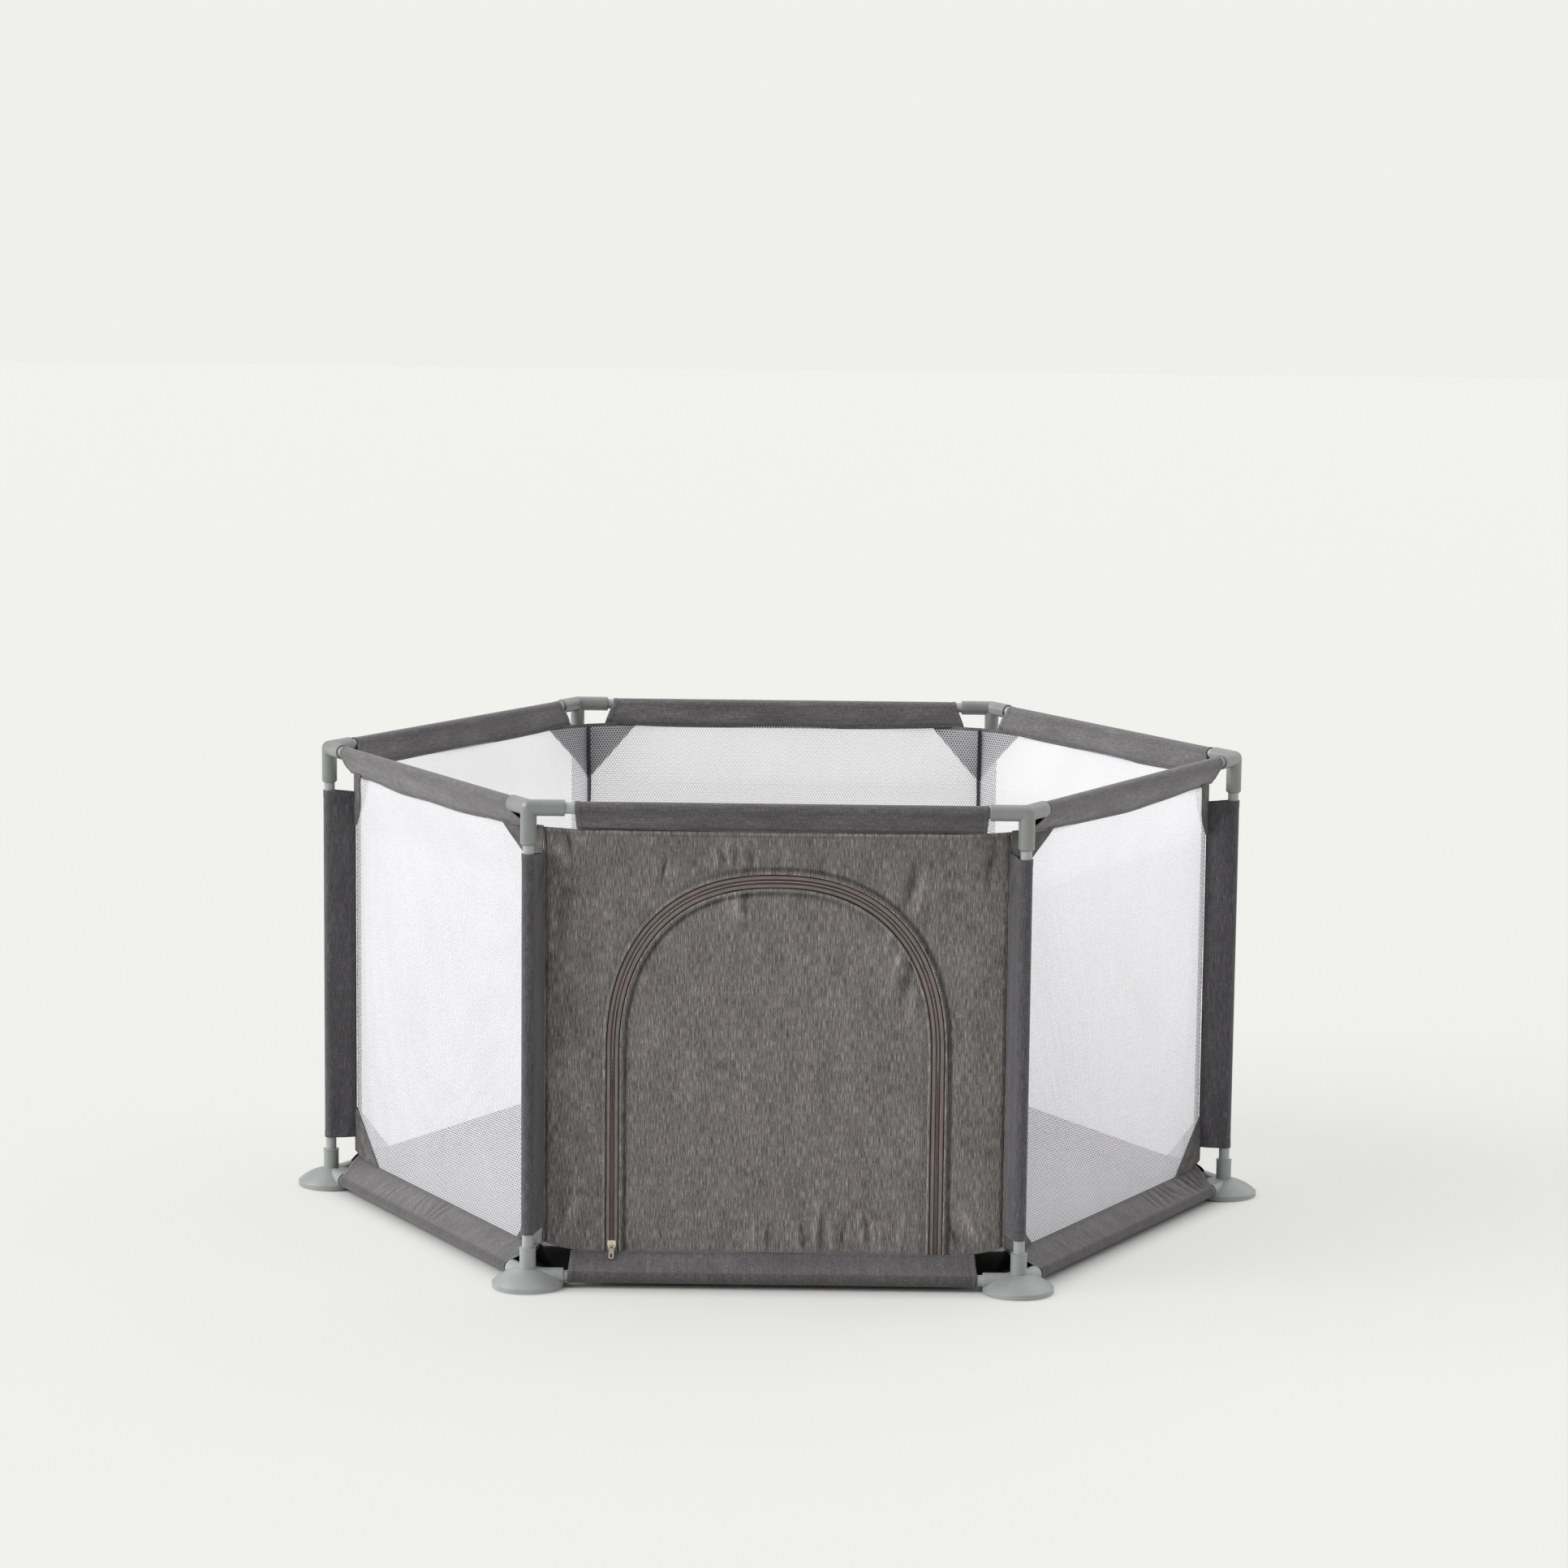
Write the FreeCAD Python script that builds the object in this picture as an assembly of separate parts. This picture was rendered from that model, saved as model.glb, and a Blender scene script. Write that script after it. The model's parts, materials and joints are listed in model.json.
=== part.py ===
"""Six-sided baby playpen: a knock-down tube frame with a sewn fabric pen hung inside it.

Millimetres. The origin is on the floor under the middle of the pen, +Z is up, and the side
with the zipped door faces -Y. Corners and walls are numbered anticlockwise seen from above:
wall 1 is the door side, corner 1 is at its left end, and wall n runs from corner n on.
"""
import FreeCAD, Part
import math
import os

os.makedirs("parts", exist_ok=True)

Vector = FreeCAD.Vector
UP = Vector(0, 0, 1)
OUTWARD = Vector(0, -1, 0)          # the outward normal of wall 1

# ---------------------------------------------------------------- driving dimensions
SIDES = 6
STEP_ANGLE = 360.0 / SIDES
FIRST_CORNER_ANGLE = -120.0
SIDE = 685.0                        # pole axis to pole axis
APOTHEM = SIDE * math.cos(math.radians(30))
LOW_RAIL_Z = 16.0                   # axis of the bottom rails
RAIL_GAP = 660.0                    # bottom rail axis to top rail axis
TOP_RAIL_Z = LOW_RAIL_Z + RAIL_GAP

# steel tubes
TUBE_RADIUS = 8.0
TUBE_WALL = 1.0
TUBE_SETBACK = 18.0                 # a tube's end stops this far from the corner axis

# moulded corner sockets
ARM_REACH = 50.0                    # corner axis to the mouth of a side socket
SOCKET_RADIUS = 11.4
BORE_RADIUS = 8.05
BORE_SETBACK = 16.0
TOP_SOCKET_DROP = 52.0              # top rail axis to the mouth of the pole socket
SOCKET_CHAMFER = 2.2
SOCKET_EDGE = 0.8

# feet
FOOT_RADIUS = 50.0
FOOT_UNDERSIDE_Z = 1.0
FOOT_RIM_Z = 8.0
FOOT_CROWN_Z = 27.5
FOOT_SOCKET_HEIGHT = 40.0           # bottom rail axis to the mouth of the pole socket
FOOT_LIP = 0.6
FOOT_LIP_HEIGHT = 1.6
PAD_RECESS_RADIUS = 42.0
PAD_RECESS_TOP_Z = 2.1
PAD_RADIUS = 41.8
PAD_THICKNESS = 2.0

# sewn pen
SEAM_REACH = 40.0                   # pole axis to the corner seam, towards the middle
WALL_INSET = SEAM_REACH * math.cos(math.radians(30))
SEAM_SIDE = SIDE - SEAM_REACH       # corner seam to corner seam
CLOTH = 1.0                         # thickness of a mesh wall
DOOR_CLOTH = 1.2
LOW_SEAM_Z = 42.0
TOP_SEAM_DROP = 30.0                # top rail axis down to the seam under the top sleeve
TOP_SEAM_INSET = 6.0
SEAM_GAP = 1.5                      # wall edge to seam line
WALL_LOW_Z = LOW_SEAM_Z + SEAM_GAP
WALL_TOP_Z = TOP_RAIL_Z - TOP_SEAM_DROP - SEAM_GAP
WALL_BEND_Z = 560.0                 # above this a mesh wall leans out to the top rail
DOOR_BEND_Z = 592.0
LEAN_CORNER = 80.0                  # length of wall top that leans back to each corner seam

# sleeves round the tubes
SLEEVE_RADIUS = 9.4
SLEEVE_BORE = 8.3
SLEEVE_EDGE = 0.9                   # half the thickness of a sleeve at its seam
TOP_SLEEVE_END = 62.0               # corner axis to the end of a sleeve
LOW_SLEEVE_END = 60.0
POLE_SLEEVE_TOP_DROP = 64.0
POLE_SLEEVE_LOW_RISE = 59.0
POLE_SLEEVE_REACH = 37.6            # pole axis to the centre of the sleeve's seam edge

# corner patches and bindings
PATCH_WIDTH = 85.0
PATCH_HEIGHT = 75.0
PATCH_THICKNESS = 0.8
PATCH_SHRINK = 0.94
PATCH_CLEARANCE = 0.05
BINDING_WIDTH = 5.0
BINDING_THICKNESS = 1.0
BINDING_SETBACK = 1.5               # corner seam to the outer face of the binding

# floor sheet
FLOOR_EDGE_INSET = 75.0
FLOOR_UNDERSIDE_Z = 1.0
FLOOR_THICKNESS = 1.5
RIM_TOP_INSET = 37.0
RIM_TOP_Z = 41.0
RIM_THICKNESS = 1.0

# zipped door
ARCH_HALF_WIDTH = 227.0             # to the middle of the zip
ARCH_SPRING_Z = 321.0
ARCH_RISE = 250.0
ARCH_POWER = 2.35                   # 2 would be an ellipse, more is squarer
ARCH_SPANS = 24
TAPE_HALF_GAP = 1.2                 # middle of the zip to either tape
TAPE_SHOWN = 9.5                    # middle of the zip to the cut edge of the cloth
TAPE_REACH = 14.5                   # middle of the zip to the hidden edge of the tape
TAPE_THICKNESS = 1.0
SILL_TOP_Z = 60.0
HINGE_Z = 61.0
FLAP_LOW_Z = 62.0
TAPE_TUCK_WIDTH = 4.6               # the flap's tape is folded under at its foot, beside the slider,
TAPE_TUCK_HEIGHT = 28.0             # so that the pull can stand up past it

# zip slider and pull
SLIDER_Z = 52.0
SLIDER_WIDTH = 11.6
SLIDER_NECK_WIDTH = 7.0
SLIDER_HEIGHT = 14.0
SLIDER_FRONT = 2.0
SLIDER_BACK = 1.2
SLIDER_CLEARANCE = 0.6
SLIDER_WEB = 1.6
SLIDER_WEB_HEIGHT = 10.0
BRIDGE_RADIUS = 3.0
BRIDGE_WIRE = 0.8
PULL_AXIS_DEPTH = 1.15              # front of the slider to the pull's crossbar
PULL_THICKNESS = 1.3
PULL_LENGTH = 22.0
PULL_WIDTH = 8.0
PULL_NECK_WIDTH = 7.0
PULL_EYE_HALF = 1.7                 # half the gap between the pull's two cheeks
PULL_EYE_LENGTH = 5.0
PULL_HOLE_WIDTH = 3.4
PULL_HOLE_LENGTH = 7.0
PULL_TILT = 46.0                    # leans out over the bottom sleeve


# ---------------------------------------------------------------- helpers
def turned(shape, degrees):
    """A copy of the shape, turned about the pen's middle."""
    copy = shape.copy()
    copy.rotate(Vector(0, 0, 0), UP, degrees)
    return copy


def at_wall(shape, index):
    """Move a shape made for wall 1 to another wall."""
    return turned(shape, STEP_ANGLE * index)


def at_corner(shape, index):
    """Move a shape made for a corner on the +X axis to its own corner."""
    return turned(shape, FIRST_CORNER_ANGLE + STEP_ANGLE * index)


def wall_point(along, inset, height):
    """A point on wall 1: along it, inwards from the tubes' plane, and up."""
    return Vector(along, -(APOTHEM - inset), height)


def export(shape, name):
    shape.exportStep("parts/" + name + ".step")


def prism(points, push):
    """A flat polygon, pushed along a vector into a solid."""
    face = Part.Face(Part.makePolygon(points + [points[0]]))
    return face.extrude(push)


def fused(shapes):
    """Flat-sided solids joined into one, with no seams left between coplanar faces."""
    return shapes[0].fuse(shapes[1:]).removeSplitter()


def joined(shapes):
    """Round solids joined one by one."""
    whole = shapes[0]
    for shape in shapes[1:]:
        whole = whole.fuse(shape)
    return whole


def carved(shape, cutters):
    for cutter in cutters:
        shape = shape.cut(cutter)
    return shape


def tube(start, end):
    direction = end - start
    length = direction.Length
    outer = Part.makeCylinder(TUBE_RADIUS, length, start, direction)
    inner = Part.makeCylinder(TUBE_RADIUS - TUBE_WALL, length, start, direction)
    return outer.cut(inner)


def teardrop(radius, reach, edge):
    """A drop-shaped face about the origin, with its thin edge towards +X."""
    angle = math.acos((radius - edge) / reach)
    cosine = math.cos(angle)
    sine = math.sin(angle)
    big_top = Vector(radius * cosine, radius * sine, 0)
    big_low = Vector(radius * cosine, -radius * sine, 0)
    edge_top = Vector(reach + edge * cosine, edge * sine, 0)
    edge_low = Vector(reach + edge * cosine, -edge * sine, 0)
    outline = Part.Wire([
        Part.Arc(big_top, Vector(-radius, 0, 0), big_low).toShape(),
        Part.makeLine(big_low, edge_low),
        Part.Arc(edge_low, Vector(reach + edge, 0, 0), edge_top).toShape(),
        Part.makeLine(edge_top, big_top),
    ])
    return Part.Face(outline)


def sleeve(start, end, towards_seam):
    """Cloth wrapped round a tube from start to end and sewn to itself along its seam."""
    axis = (end - start).normalize()
    length = (end - start).Length
    reach = towards_seam.Length
    tail = Vector(towards_seam).normalize()
    body = teardrop(SLEEVE_RADIUS, reach, SLEEVE_EDGE).extrude(UP * length)
    body = body.cut(Part.makeCylinder(SLEEVE_BORE, length))
    body.Placement = FreeCAD.Placement(start, FreeCAD.Rotation(tail, axis.cross(tail), axis, "XYZ"))
    return body


# ---------------------------------------------------------------- tube frame
def upright_pole():
    return tube(Vector(SIDE, 0, LOW_RAIL_Z + TUBE_SETBACK), Vector(SIDE, 0, TOP_RAIL_Z - TUBE_SETBACK))


def rail(height):
    half = SIDE / 2 - TUBE_SETBACK
    return tube(wall_point(-half, 0, height), wall_point(half, 0, height))


def rail_directions():
    """The two ways from a corner on the +X axis to its neighbours."""
    return [Vector(-0.5, sign * math.cos(math.radians(30)), 0) for sign in (1, -1)]


def mouth_edge(socket, mouth):
    """The round edge of a socket that is centred on its mouth."""
    circles = [edge for edge in socket.Edges if edge.Closed]
    return [edge for edge in circles if (edge.CenterOfMass - mouth).Length < 0.01]


def socket_bores(centre, pole_direction, pole_length):
    bores = []
    for direction in rail_directions():
        start = centre + direction * BORE_SETBACK
        bores.append(Part.makeCylinder(BORE_RADIUS, ARM_REACH, start, direction))
    start = centre + pole_direction * BORE_SETBACK
    bores.append(Part.makeCylinder(BORE_RADIUS, pole_length, start, pole_direction))
    return bores


def top_corner():
    centre = Vector(SIDE, 0, TOP_RAIL_Z)
    pole_socket = Part.makeCylinder(SOCKET_RADIUS, TOP_SOCKET_DROP, centre, -UP)
    pole_mouth = mouth_edge(pole_socket, centre - UP * TOP_SOCKET_DROP)
    pieces = [Part.makeSphere(SOCKET_RADIUS, centre), pole_socket.makeChamfer(SOCKET_CHAMFER, pole_mouth)]
    for direction in rail_directions():
        arm = Part.makeCylinder(SOCKET_RADIUS, ARM_REACH, centre, direction)
        pieces.append(arm.makeFillet(SOCKET_EDGE, mouth_edge(arm, centre + direction * ARM_REACH)))
    return carved(joined(pieces), socket_bores(centre, -UP, TOP_SOCKET_DROP))


def foot_dome():
    """The round plate, with an upright rim and a low domed top."""
    rise = FOOT_CROWN_Z - FOOT_RIM_Z
    dome_radius = (FOOT_RADIUS ** 2 + rise ** 2) / (2 * rise)
    half = FOOT_RADIUS / 2
    half_z = FOOT_CROWN_Z - dome_radius + math.sqrt(dome_radius ** 2 - half ** 2)
    axis_low = Vector(0, 0, FOOT_UNDERSIDE_Z)
    rim_low = Vector(FOOT_RADIUS, 0, FOOT_UNDERSIDE_Z)
    rim_top = Vector(FOOT_RADIUS, 0, FOOT_RIM_Z)
    crown = Vector(0, 0, FOOT_CROWN_Z)
    outline = Part.Wire([
        Part.makeLine(axis_low, rim_low),
        Part.makeLine(rim_low, rim_top),
        Part.Arc(rim_top, Vector(half, 0, half_z), crown).toShape(),
        Part.makeLine(crown, axis_low),
    ])
    dome = Part.Face(outline).revolve(Vector(0, 0, 0), UP, 360)
    rim = mouth_edge(dome, axis_low) + mouth_edge(dome, UP * FOOT_RIM_Z)
    return dome.makeFillet(SOCKET_EDGE, rim)


def foot():
    centre = Vector(SIDE, 0, LOW_RAIL_Z)
    dome = foot_dome()
    dome.translate(Vector(SIDE, 0, 0))
    pieces = [dome.cut(Part.makeCylinder(PAD_RECESS_RADIUS, PAD_RECESS_TOP_Z, Vector(SIDE, 0, 0), UP))]
    for direction in rail_directions():
        arm = Part.makeCylinder(SOCKET_RADIUS, ARM_REACH, centre, direction)
        pieces.append(arm.makeFillet(SOCKET_EDGE, mouth_edge(arm, centre + direction * ARM_REACH)))
    pieces.append(Part.makeCylinder(SOCKET_RADIUS, FOOT_SOCKET_HEIGHT, centre, UP))
    lip_top = centre + UP * FOOT_SOCKET_HEIGHT
    lip = Part.makeCylinder(SOCKET_RADIUS + FOOT_LIP, FOOT_LIP_HEIGHT, lip_top, -UP)
    pieces.append(lip.makeFillet(FOOT_LIP / 2, mouth_edge(lip, lip_top)))
    return carved(joined(pieces), socket_bores(centre, UP, FOOT_SOCKET_HEIGHT))


def foot_pad():
    return Part.makeCylinder(PAD_RADIUS, PAD_THICKNESS, Vector(SIDE, 0, 0), UP)


# ---------------------------------------------------------------- sleeves
def top_sleeve():
    half = SIDE / 2 - TOP_SLEEVE_END
    seam = wall_point(0, TOP_SEAM_INSET, -TOP_SEAM_DROP) - wall_point(0, 0, 0)
    return sleeve(wall_point(-half, 0, TOP_RAIL_Z), wall_point(half, 0, TOP_RAIL_Z), seam)


def bottom_sleeve():
    half = SIDE / 2 - LOW_SLEEVE_END
    seam = wall_point(0, WALL_INSET, LOW_SEAM_Z - LOW_RAIL_Z) - wall_point(0, 0, 0)
    return sleeve(wall_point(-half, 0, LOW_RAIL_Z), wall_point(half, 0, LOW_RAIL_Z), seam)


def pole_sleeve():
    low = Vector(SIDE, 0, LOW_RAIL_Z + POLE_SLEEVE_LOW_RISE)
    top = Vector(SIDE, 0, TOP_RAIL_Z - POLE_SLEEVE_TOP_DROP)
    return sleeve(low, top, Vector(-POLE_SLEEVE_REACH, 0, 0))


# ---------------------------------------------------------------- walls
def lean_corner(sign, bend_z):
    """The three corners of the wall's triangle that leans back to a corner seam."""
    edge = sign * (SEAM_SIDE / 2 - SEAM_GAP)
    return [
        wall_point(edge, WALL_INSET, bend_z),
        wall_point(edge, WALL_INSET, WALL_TOP_Z),
        wall_point(edge - sign * LEAN_CORNER, TOP_SEAM_INSET, WALL_TOP_Z),
    ]


def wall(thickness, bend_z):
    """Wall 1 as cloth: upright below, and leaning out to the top rail above bend_z."""
    left = lean_corner(-1, bend_z)
    right = lean_corner(1, bend_z)
    half = SEAM_SIDE / 2 - SEAM_GAP
    low_left = wall_point(-half, WALL_INSET, WALL_LOW_Z)
    low_right = wall_point(half, WALL_INSET, WALL_LOW_Z)
    push = OUTWARD * thickness
    return fused([
        prism([low_left, low_right, right[0], left[0]], push),
        prism([left[0], right[0], right[2], left[2]], push),
        prism(left, push),
        prism(right, push),
    ])


def corner_patches():
    """Cloth triangles over the four corners of wall 1, on its outer face."""
    patches = []
    push = OUTWARD * PATCH_THICKNESS
    lift = OUTWARD * (CLOTH + PATCH_CLEARANCE)
    for sign in (-1, 1):
        corner = sign * (SEAM_SIDE / 2 - SEAM_GAP)
        low = [
            wall_point(corner, WALL_INSET, WALL_LOW_Z),
            wall_point(corner - sign * PATCH_WIDTH, WALL_INSET, WALL_LOW_Z),
            wall_point(corner, WALL_INSET, WALL_LOW_Z + PATCH_HEIGHT),
        ]
        for corners in (low, lean_corner(sign, WALL_BEND_Z)):
            middle = (corners[0] + corners[1] + corners[2]) * (1 / 3)
            shrunk = [middle + (point - middle) * PATCH_SHRINK + lift for point in corners]
            patches.append(prism(shrunk, push))
    return patches


def corner_binding():
    outer = SIDE - SEAM_REACH - BINDING_SETBACK
    low = Vector(outer - BINDING_THICKNESS, -BINDING_WIDTH / 2, WALL_LOW_Z)
    return Part.makeBox(BINDING_THICKNESS, BINDING_WIDTH, WALL_TOP_Z - WALL_LOW_Z, low)


def floor_sheet():
    """The floor cloth: a flat hexagon and a low sloping rim up to the bottom seams."""
    reach = (APOTHEM - FLOOR_EDGE_INSET) / math.cos(math.radians(30))
    corners = [turned(Part.Vertex(reach, 0, FLOOR_UNDERSIDE_Z), STEP_ANGLE * index).Point
               for index in range(SIDES)]
    solids = [prism(corners, UP * FLOOR_THICKNESS)]
    half_low = reach / 2
    half_top = (APOTHEM - RIM_TOP_INSET) / math.cos(math.radians(30)) / 2
    strip = prism([
        wall_point(-half_low, FLOOR_EDGE_INSET, FLOOR_UNDERSIDE_Z + FLOOR_THICKNESS),
        wall_point(half_low, FLOOR_EDGE_INSET, FLOOR_UNDERSIDE_Z + FLOOR_THICKNESS),
        wall_point(half_top, RIM_TOP_INSET, RIM_TOP_Z - RIM_THICKNESS),
        wall_point(-half_top, RIM_TOP_INSET, RIM_TOP_Z - RIM_THICKNESS),
    ], UP * RIM_THICKNESS)
    for index in range(SIDES):
        solids.append(at_wall(strip, index))
    return solids


# ---------------------------------------------------------------- zipped door
def arch_face(offset, low_z):
    """The door's arch as a face on wall 1, grown by offset all round except at its foot."""
    half = ARCH_HALF_WIDTH + offset
    rise = ARCH_RISE + offset
    crown = []
    for step in range(ARCH_SPANS + 1):
        angle = math.pi * step / ARCH_SPANS
        across = math.copysign(abs(math.cos(angle)) ** (2 / ARCH_POWER), math.cos(angle))
        up = abs(math.sin(angle)) ** (2 / ARCH_POWER)
        crown.append(wall_point(half * across, WALL_INSET, ARCH_SPRING_Z + rise * up))
    curve = Part.BSplineCurve()
    curve.interpolate(Points=crown, InitialTangent=UP, FinalTangent=-UP)
    right_low = wall_point(half, WALL_INSET, low_z)
    left_low = wall_point(-half, WALL_INSET, low_z)
    return Part.Face(Part.Wire([
        curve.toShape(),
        Part.makeLine(crown[-1], left_low),
        Part.makeLine(left_low, right_low),
        Part.makeLine(right_low, crown[0]),
    ]))


def arch_prism(offset, low_z, start, depth):
    """The arch pushed outward; start is where it begins, outward of the wall's inner face."""
    face = arch_face(offset, low_z)
    face.translate(OUTWARD * start)
    return face.extrude(OUTWARD * depth)


def door_surround():
    return wall(DOOR_CLOTH, DOOR_BEND_Z).cut(arch_prism(TAPE_SHOWN, WALL_LOW_Z - 1, -1, 3 * DOOR_CLOTH))


def door_sill():
    half = ARCH_HALF_WIDTH - TAPE_SHOWN
    return prism([
        wall_point(-half, WALL_INSET, WALL_LOW_Z),
        wall_point(half, WALL_INSET, WALL_LOW_Z),
        wall_point(half, WALL_INSET, SILL_TOP_Z),
        wall_point(-half, WALL_INSET, SILL_TOP_Z),
    ], OUTWARD * DOOR_CLOTH)


def door_flap():
    return arch_prism(-TAPE_SHOWN, FLAP_LOW_Z, 0, DOOR_CLOTH)


def zip_tape(low_z, inner, outer):
    """One half of the zip's tape, lying against the cloth's inner face."""
    band = arch_prism(outer, low_z, -TAPE_THICKNESS, TAPE_THICKNESS)
    return band.cut(arch_prism(inner, low_z - 1, -2 * TAPE_THICKNESS, 3 * TAPE_THICKNESS))


def zip_tape_outer():
    """The surround's half of the tape, and the two short ends that are sewn to the sill."""
    stub_width = TAPE_REACH - TAPE_HALF_GAP
    solids = [zip_tape(WALL_LOW_Z, TAPE_HALF_GAP, TAPE_REACH)]
    for low_x in (-ARCH_HALF_WIDTH + TAPE_HALF_GAP, ARCH_HALF_WIDTH - TAPE_REACH):
        corner = wall_point(low_x, WALL_INSET, WALL_LOW_Z)
        solids.append(Part.makeBox(stub_width, TAPE_THICKNESS, SILL_TOP_Z - WALL_LOW_Z, corner))
    return solids


def zip_tape_inner():
    tape = zip_tape(FLAP_LOW_Z, -TAPE_REACH, -TAPE_HALF_GAP)
    corner = wall_point(-ARCH_HALF_WIDTH, WALL_INSET, FLAP_LOW_Z - 1)
    corner = corner + OUTWARD * TAPE_THICKNESS
    return tape.cut(Part.makeBox(TAPE_TUCK_WIDTH, 3 * TAPE_THICKNESS, TAPE_TUCK_HEIGHT, corner))


# ---------------------------------------------------------------- zip slider and pull
def slider_plate(width, neck, height, front_y, thickness):
    """A plate that narrows downwards, with its front face at front_y."""
    top = SLIDER_Z + height / 2
    low = SLIDER_Z - height / 2
    x = -ARCH_HALF_WIDTH
    plate = prism([
        Vector(x - width / 2, front_y, top),
        Vector(x + width / 2, front_y, top),
        Vector(x + width / 2, front_y, SLIDER_Z),
        Vector(x + neck / 2, front_y, low),
        Vector(x - neck / 2, front_y, low),
        Vector(x - width / 2, front_y, SLIDER_Z),
    ], Vector(0, thickness, 0))
    rounded = [edge for edge in plate.Edges if edge.BoundBox.YLength > thickness / 2]
    return plate.makeFillet(thickness / 2, rounded)


def slider_front_y():
    return -(APOTHEM - WALL_INSET) - SLIDER_CLEARANCE - SLIDER_FRONT


def zip_slider():
    front_y = slider_front_y()
    tape_back_y = -(APOTHEM - WALL_INSET) + TAPE_THICKNESS
    back_plate_y = tape_back_y + SLIDER_CLEARANCE
    front = slider_plate(SLIDER_WIDTH, SLIDER_NECK_WIDTH, SLIDER_HEIGHT, front_y, SLIDER_FRONT)
    back = slider_plate(SLIDER_WIDTH, SLIDER_NECK_WIDTH, SLIDER_HEIGHT, back_plate_y, SLIDER_BACK)
    web_low = Vector(-ARCH_HALF_WIDTH - SLIDER_WEB / 2, front_y + SLIDER_FRONT / 2,
                     SLIDER_Z - SLIDER_WEB_HEIGHT / 2)
    web_depth = back_plate_y - front_y
    web = Part.makeBox(SLIDER_WEB, web_depth, SLIDER_WEB_HEIGHT, web_low)
    bridge = Part.makeTorus(BRIDGE_RADIUS, BRIDGE_WIRE, Vector(-ARCH_HALF_WIDTH, front_y, SLIDER_Z),
                            Vector(1, 0, 0))
    keep = Part.makeBox(4 * BRIDGE_WIRE, 2 * BRIDGE_RADIUS + SLIDER_FRONT / 2, 4 * BRIDGE_RADIUS,
                        Vector(-ARCH_HALF_WIDTH - 2 * BRIDGE_WIRE,
                               front_y - 2 * BRIDGE_RADIUS, SLIDER_Z - 2 * BRIDGE_RADIUS))
    return joined([front, web, back, bridge.common(keep)])


def zip_pull():
    """A flat tab with a slot, hung from a crossbar that passes behind the slider's bridge."""
    half = PULL_THICKNESS / 2
    tab = prism([
        Vector(-PULL_NECK_WIDTH / 2, -half, 0),
        Vector(PULL_NECK_WIDTH / 2, -half, 0),
        Vector(PULL_WIDTH / 2, -half, -PULL_LENGTH),
        Vector(-PULL_WIDTH / 2, -half, -PULL_LENGTH),
    ], Vector(0, PULL_THICKNESS, 0))
    corners = [edge for edge in tab.Edges
               if edge.BoundBox.YLength > half and edge.BoundBox.ZMax < -PULL_LENGTH / 2]
    tab = tab.makeFillet(PULL_WIDTH * 0.35, corners)
    eye = Part.makeBox(2 * PULL_EYE_HALF, 2 * PULL_THICKNESS, PULL_EYE_LENGTH,
                       Vector(-PULL_EYE_HALF, -PULL_THICKNESS, -PULL_EYE_LENGTH))
    slot_radius = PULL_HOLE_WIDTH / 2
    slot_low = -PULL_LENGTH + 2 * slot_radius
    slot_run = PULL_HOLE_LENGTH - PULL_HOLE_WIDTH
    cutters = [eye, Part.makeBox(PULL_HOLE_WIDTH, 2 * PULL_THICKNESS, slot_run,
                                 Vector(-slot_radius, -PULL_THICKNESS, slot_low))]
    for height in (slot_low, slot_low + slot_run):
        cutters.append(Part.makeCylinder(slot_radius, 2 * PULL_THICKNESS,
                                         Vector(0, -PULL_THICKNESS, height), Vector(0, 1, 0)))
    bar = Part.makeCylinder(half, PULL_NECK_WIDTH, Vector(-PULL_NECK_WIDTH / 2, 0, 0), Vector(1, 0, 0))
    pull = carved(tab, cutters).fuse(bar)
    pull.rotate(Vector(0, 0, 0), Vector(1, 0, 0), -PULL_TILT)
    pull.translate(Vector(-ARCH_HALF_WIDTH, slider_front_y() - PULL_AXIS_DEPTH, SLIDER_Z))
    return pull


# ---------------------------------------------------------------- one file per piece
CORNER_PIECES = {"upright_pole": upright_pole(), "top_corner": top_corner(), "foot": foot()}
WALL_PIECES = {
    "top_rail": rail(TOP_RAIL_Z),
    "bottom_rail": rail(LOW_RAIL_Z),
    "top_sleeve": top_sleeve(),
    "bottom_sleeve": bottom_sleeve(),
}
for number in range(SIDES):
    for name, shape in CORNER_PIECES.items():
        export(at_corner(shape, number), "%s_%d" % (name, number + 1))
    for name, shape in WALL_PIECES.items():
        export(at_wall(shape, number), "%s_%d" % (name, number + 1))

mesh_wall = wall(CLOTH, WALL_BEND_Z)
patches = []
for number in range(1, SIDES):
    export(at_wall(mesh_wall, number), "mesh_panel_%d" % number)
    patches += [at_wall(patch, number) for patch in corner_patches()]
export(Part.makeCompound(patches), "corner_patches")

for name, shape in {"foot_pads": foot_pad(), "pole_sleeves": pole_sleeve(),
                    "corner_bindings": corner_binding()}.items():
    export(Part.makeCompound([at_corner(shape, number) for number in range(SIDES)]), name)

export(Part.makeCompound(floor_sheet()), "floor_sheet")
export(door_surround(), "door_surround")
export(door_sill(), "door_sill")
export(door_flap(), "door_flap")
export(Part.makeCompound(zip_tape_outer()), "zip_tape_outer")
export(zip_tape_inner(), "zip_tape_inner")
export(zip_slider(), "zip_slider")
export(zip_pull(), "zip_pull")
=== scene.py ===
"""The looks of a six-sided baby playpen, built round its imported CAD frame.

Metres, in the CAD model's own frame: +Z is up, the middle of the pen is the origin, and the
zipped door is wall 1, on the -Y side. Every wall is made as wall 1 and turned to its place.
Cloth is made as grids of points whose UVs are its flat size in metres, so weaves keep their scale.
"""
import json
import math

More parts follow.
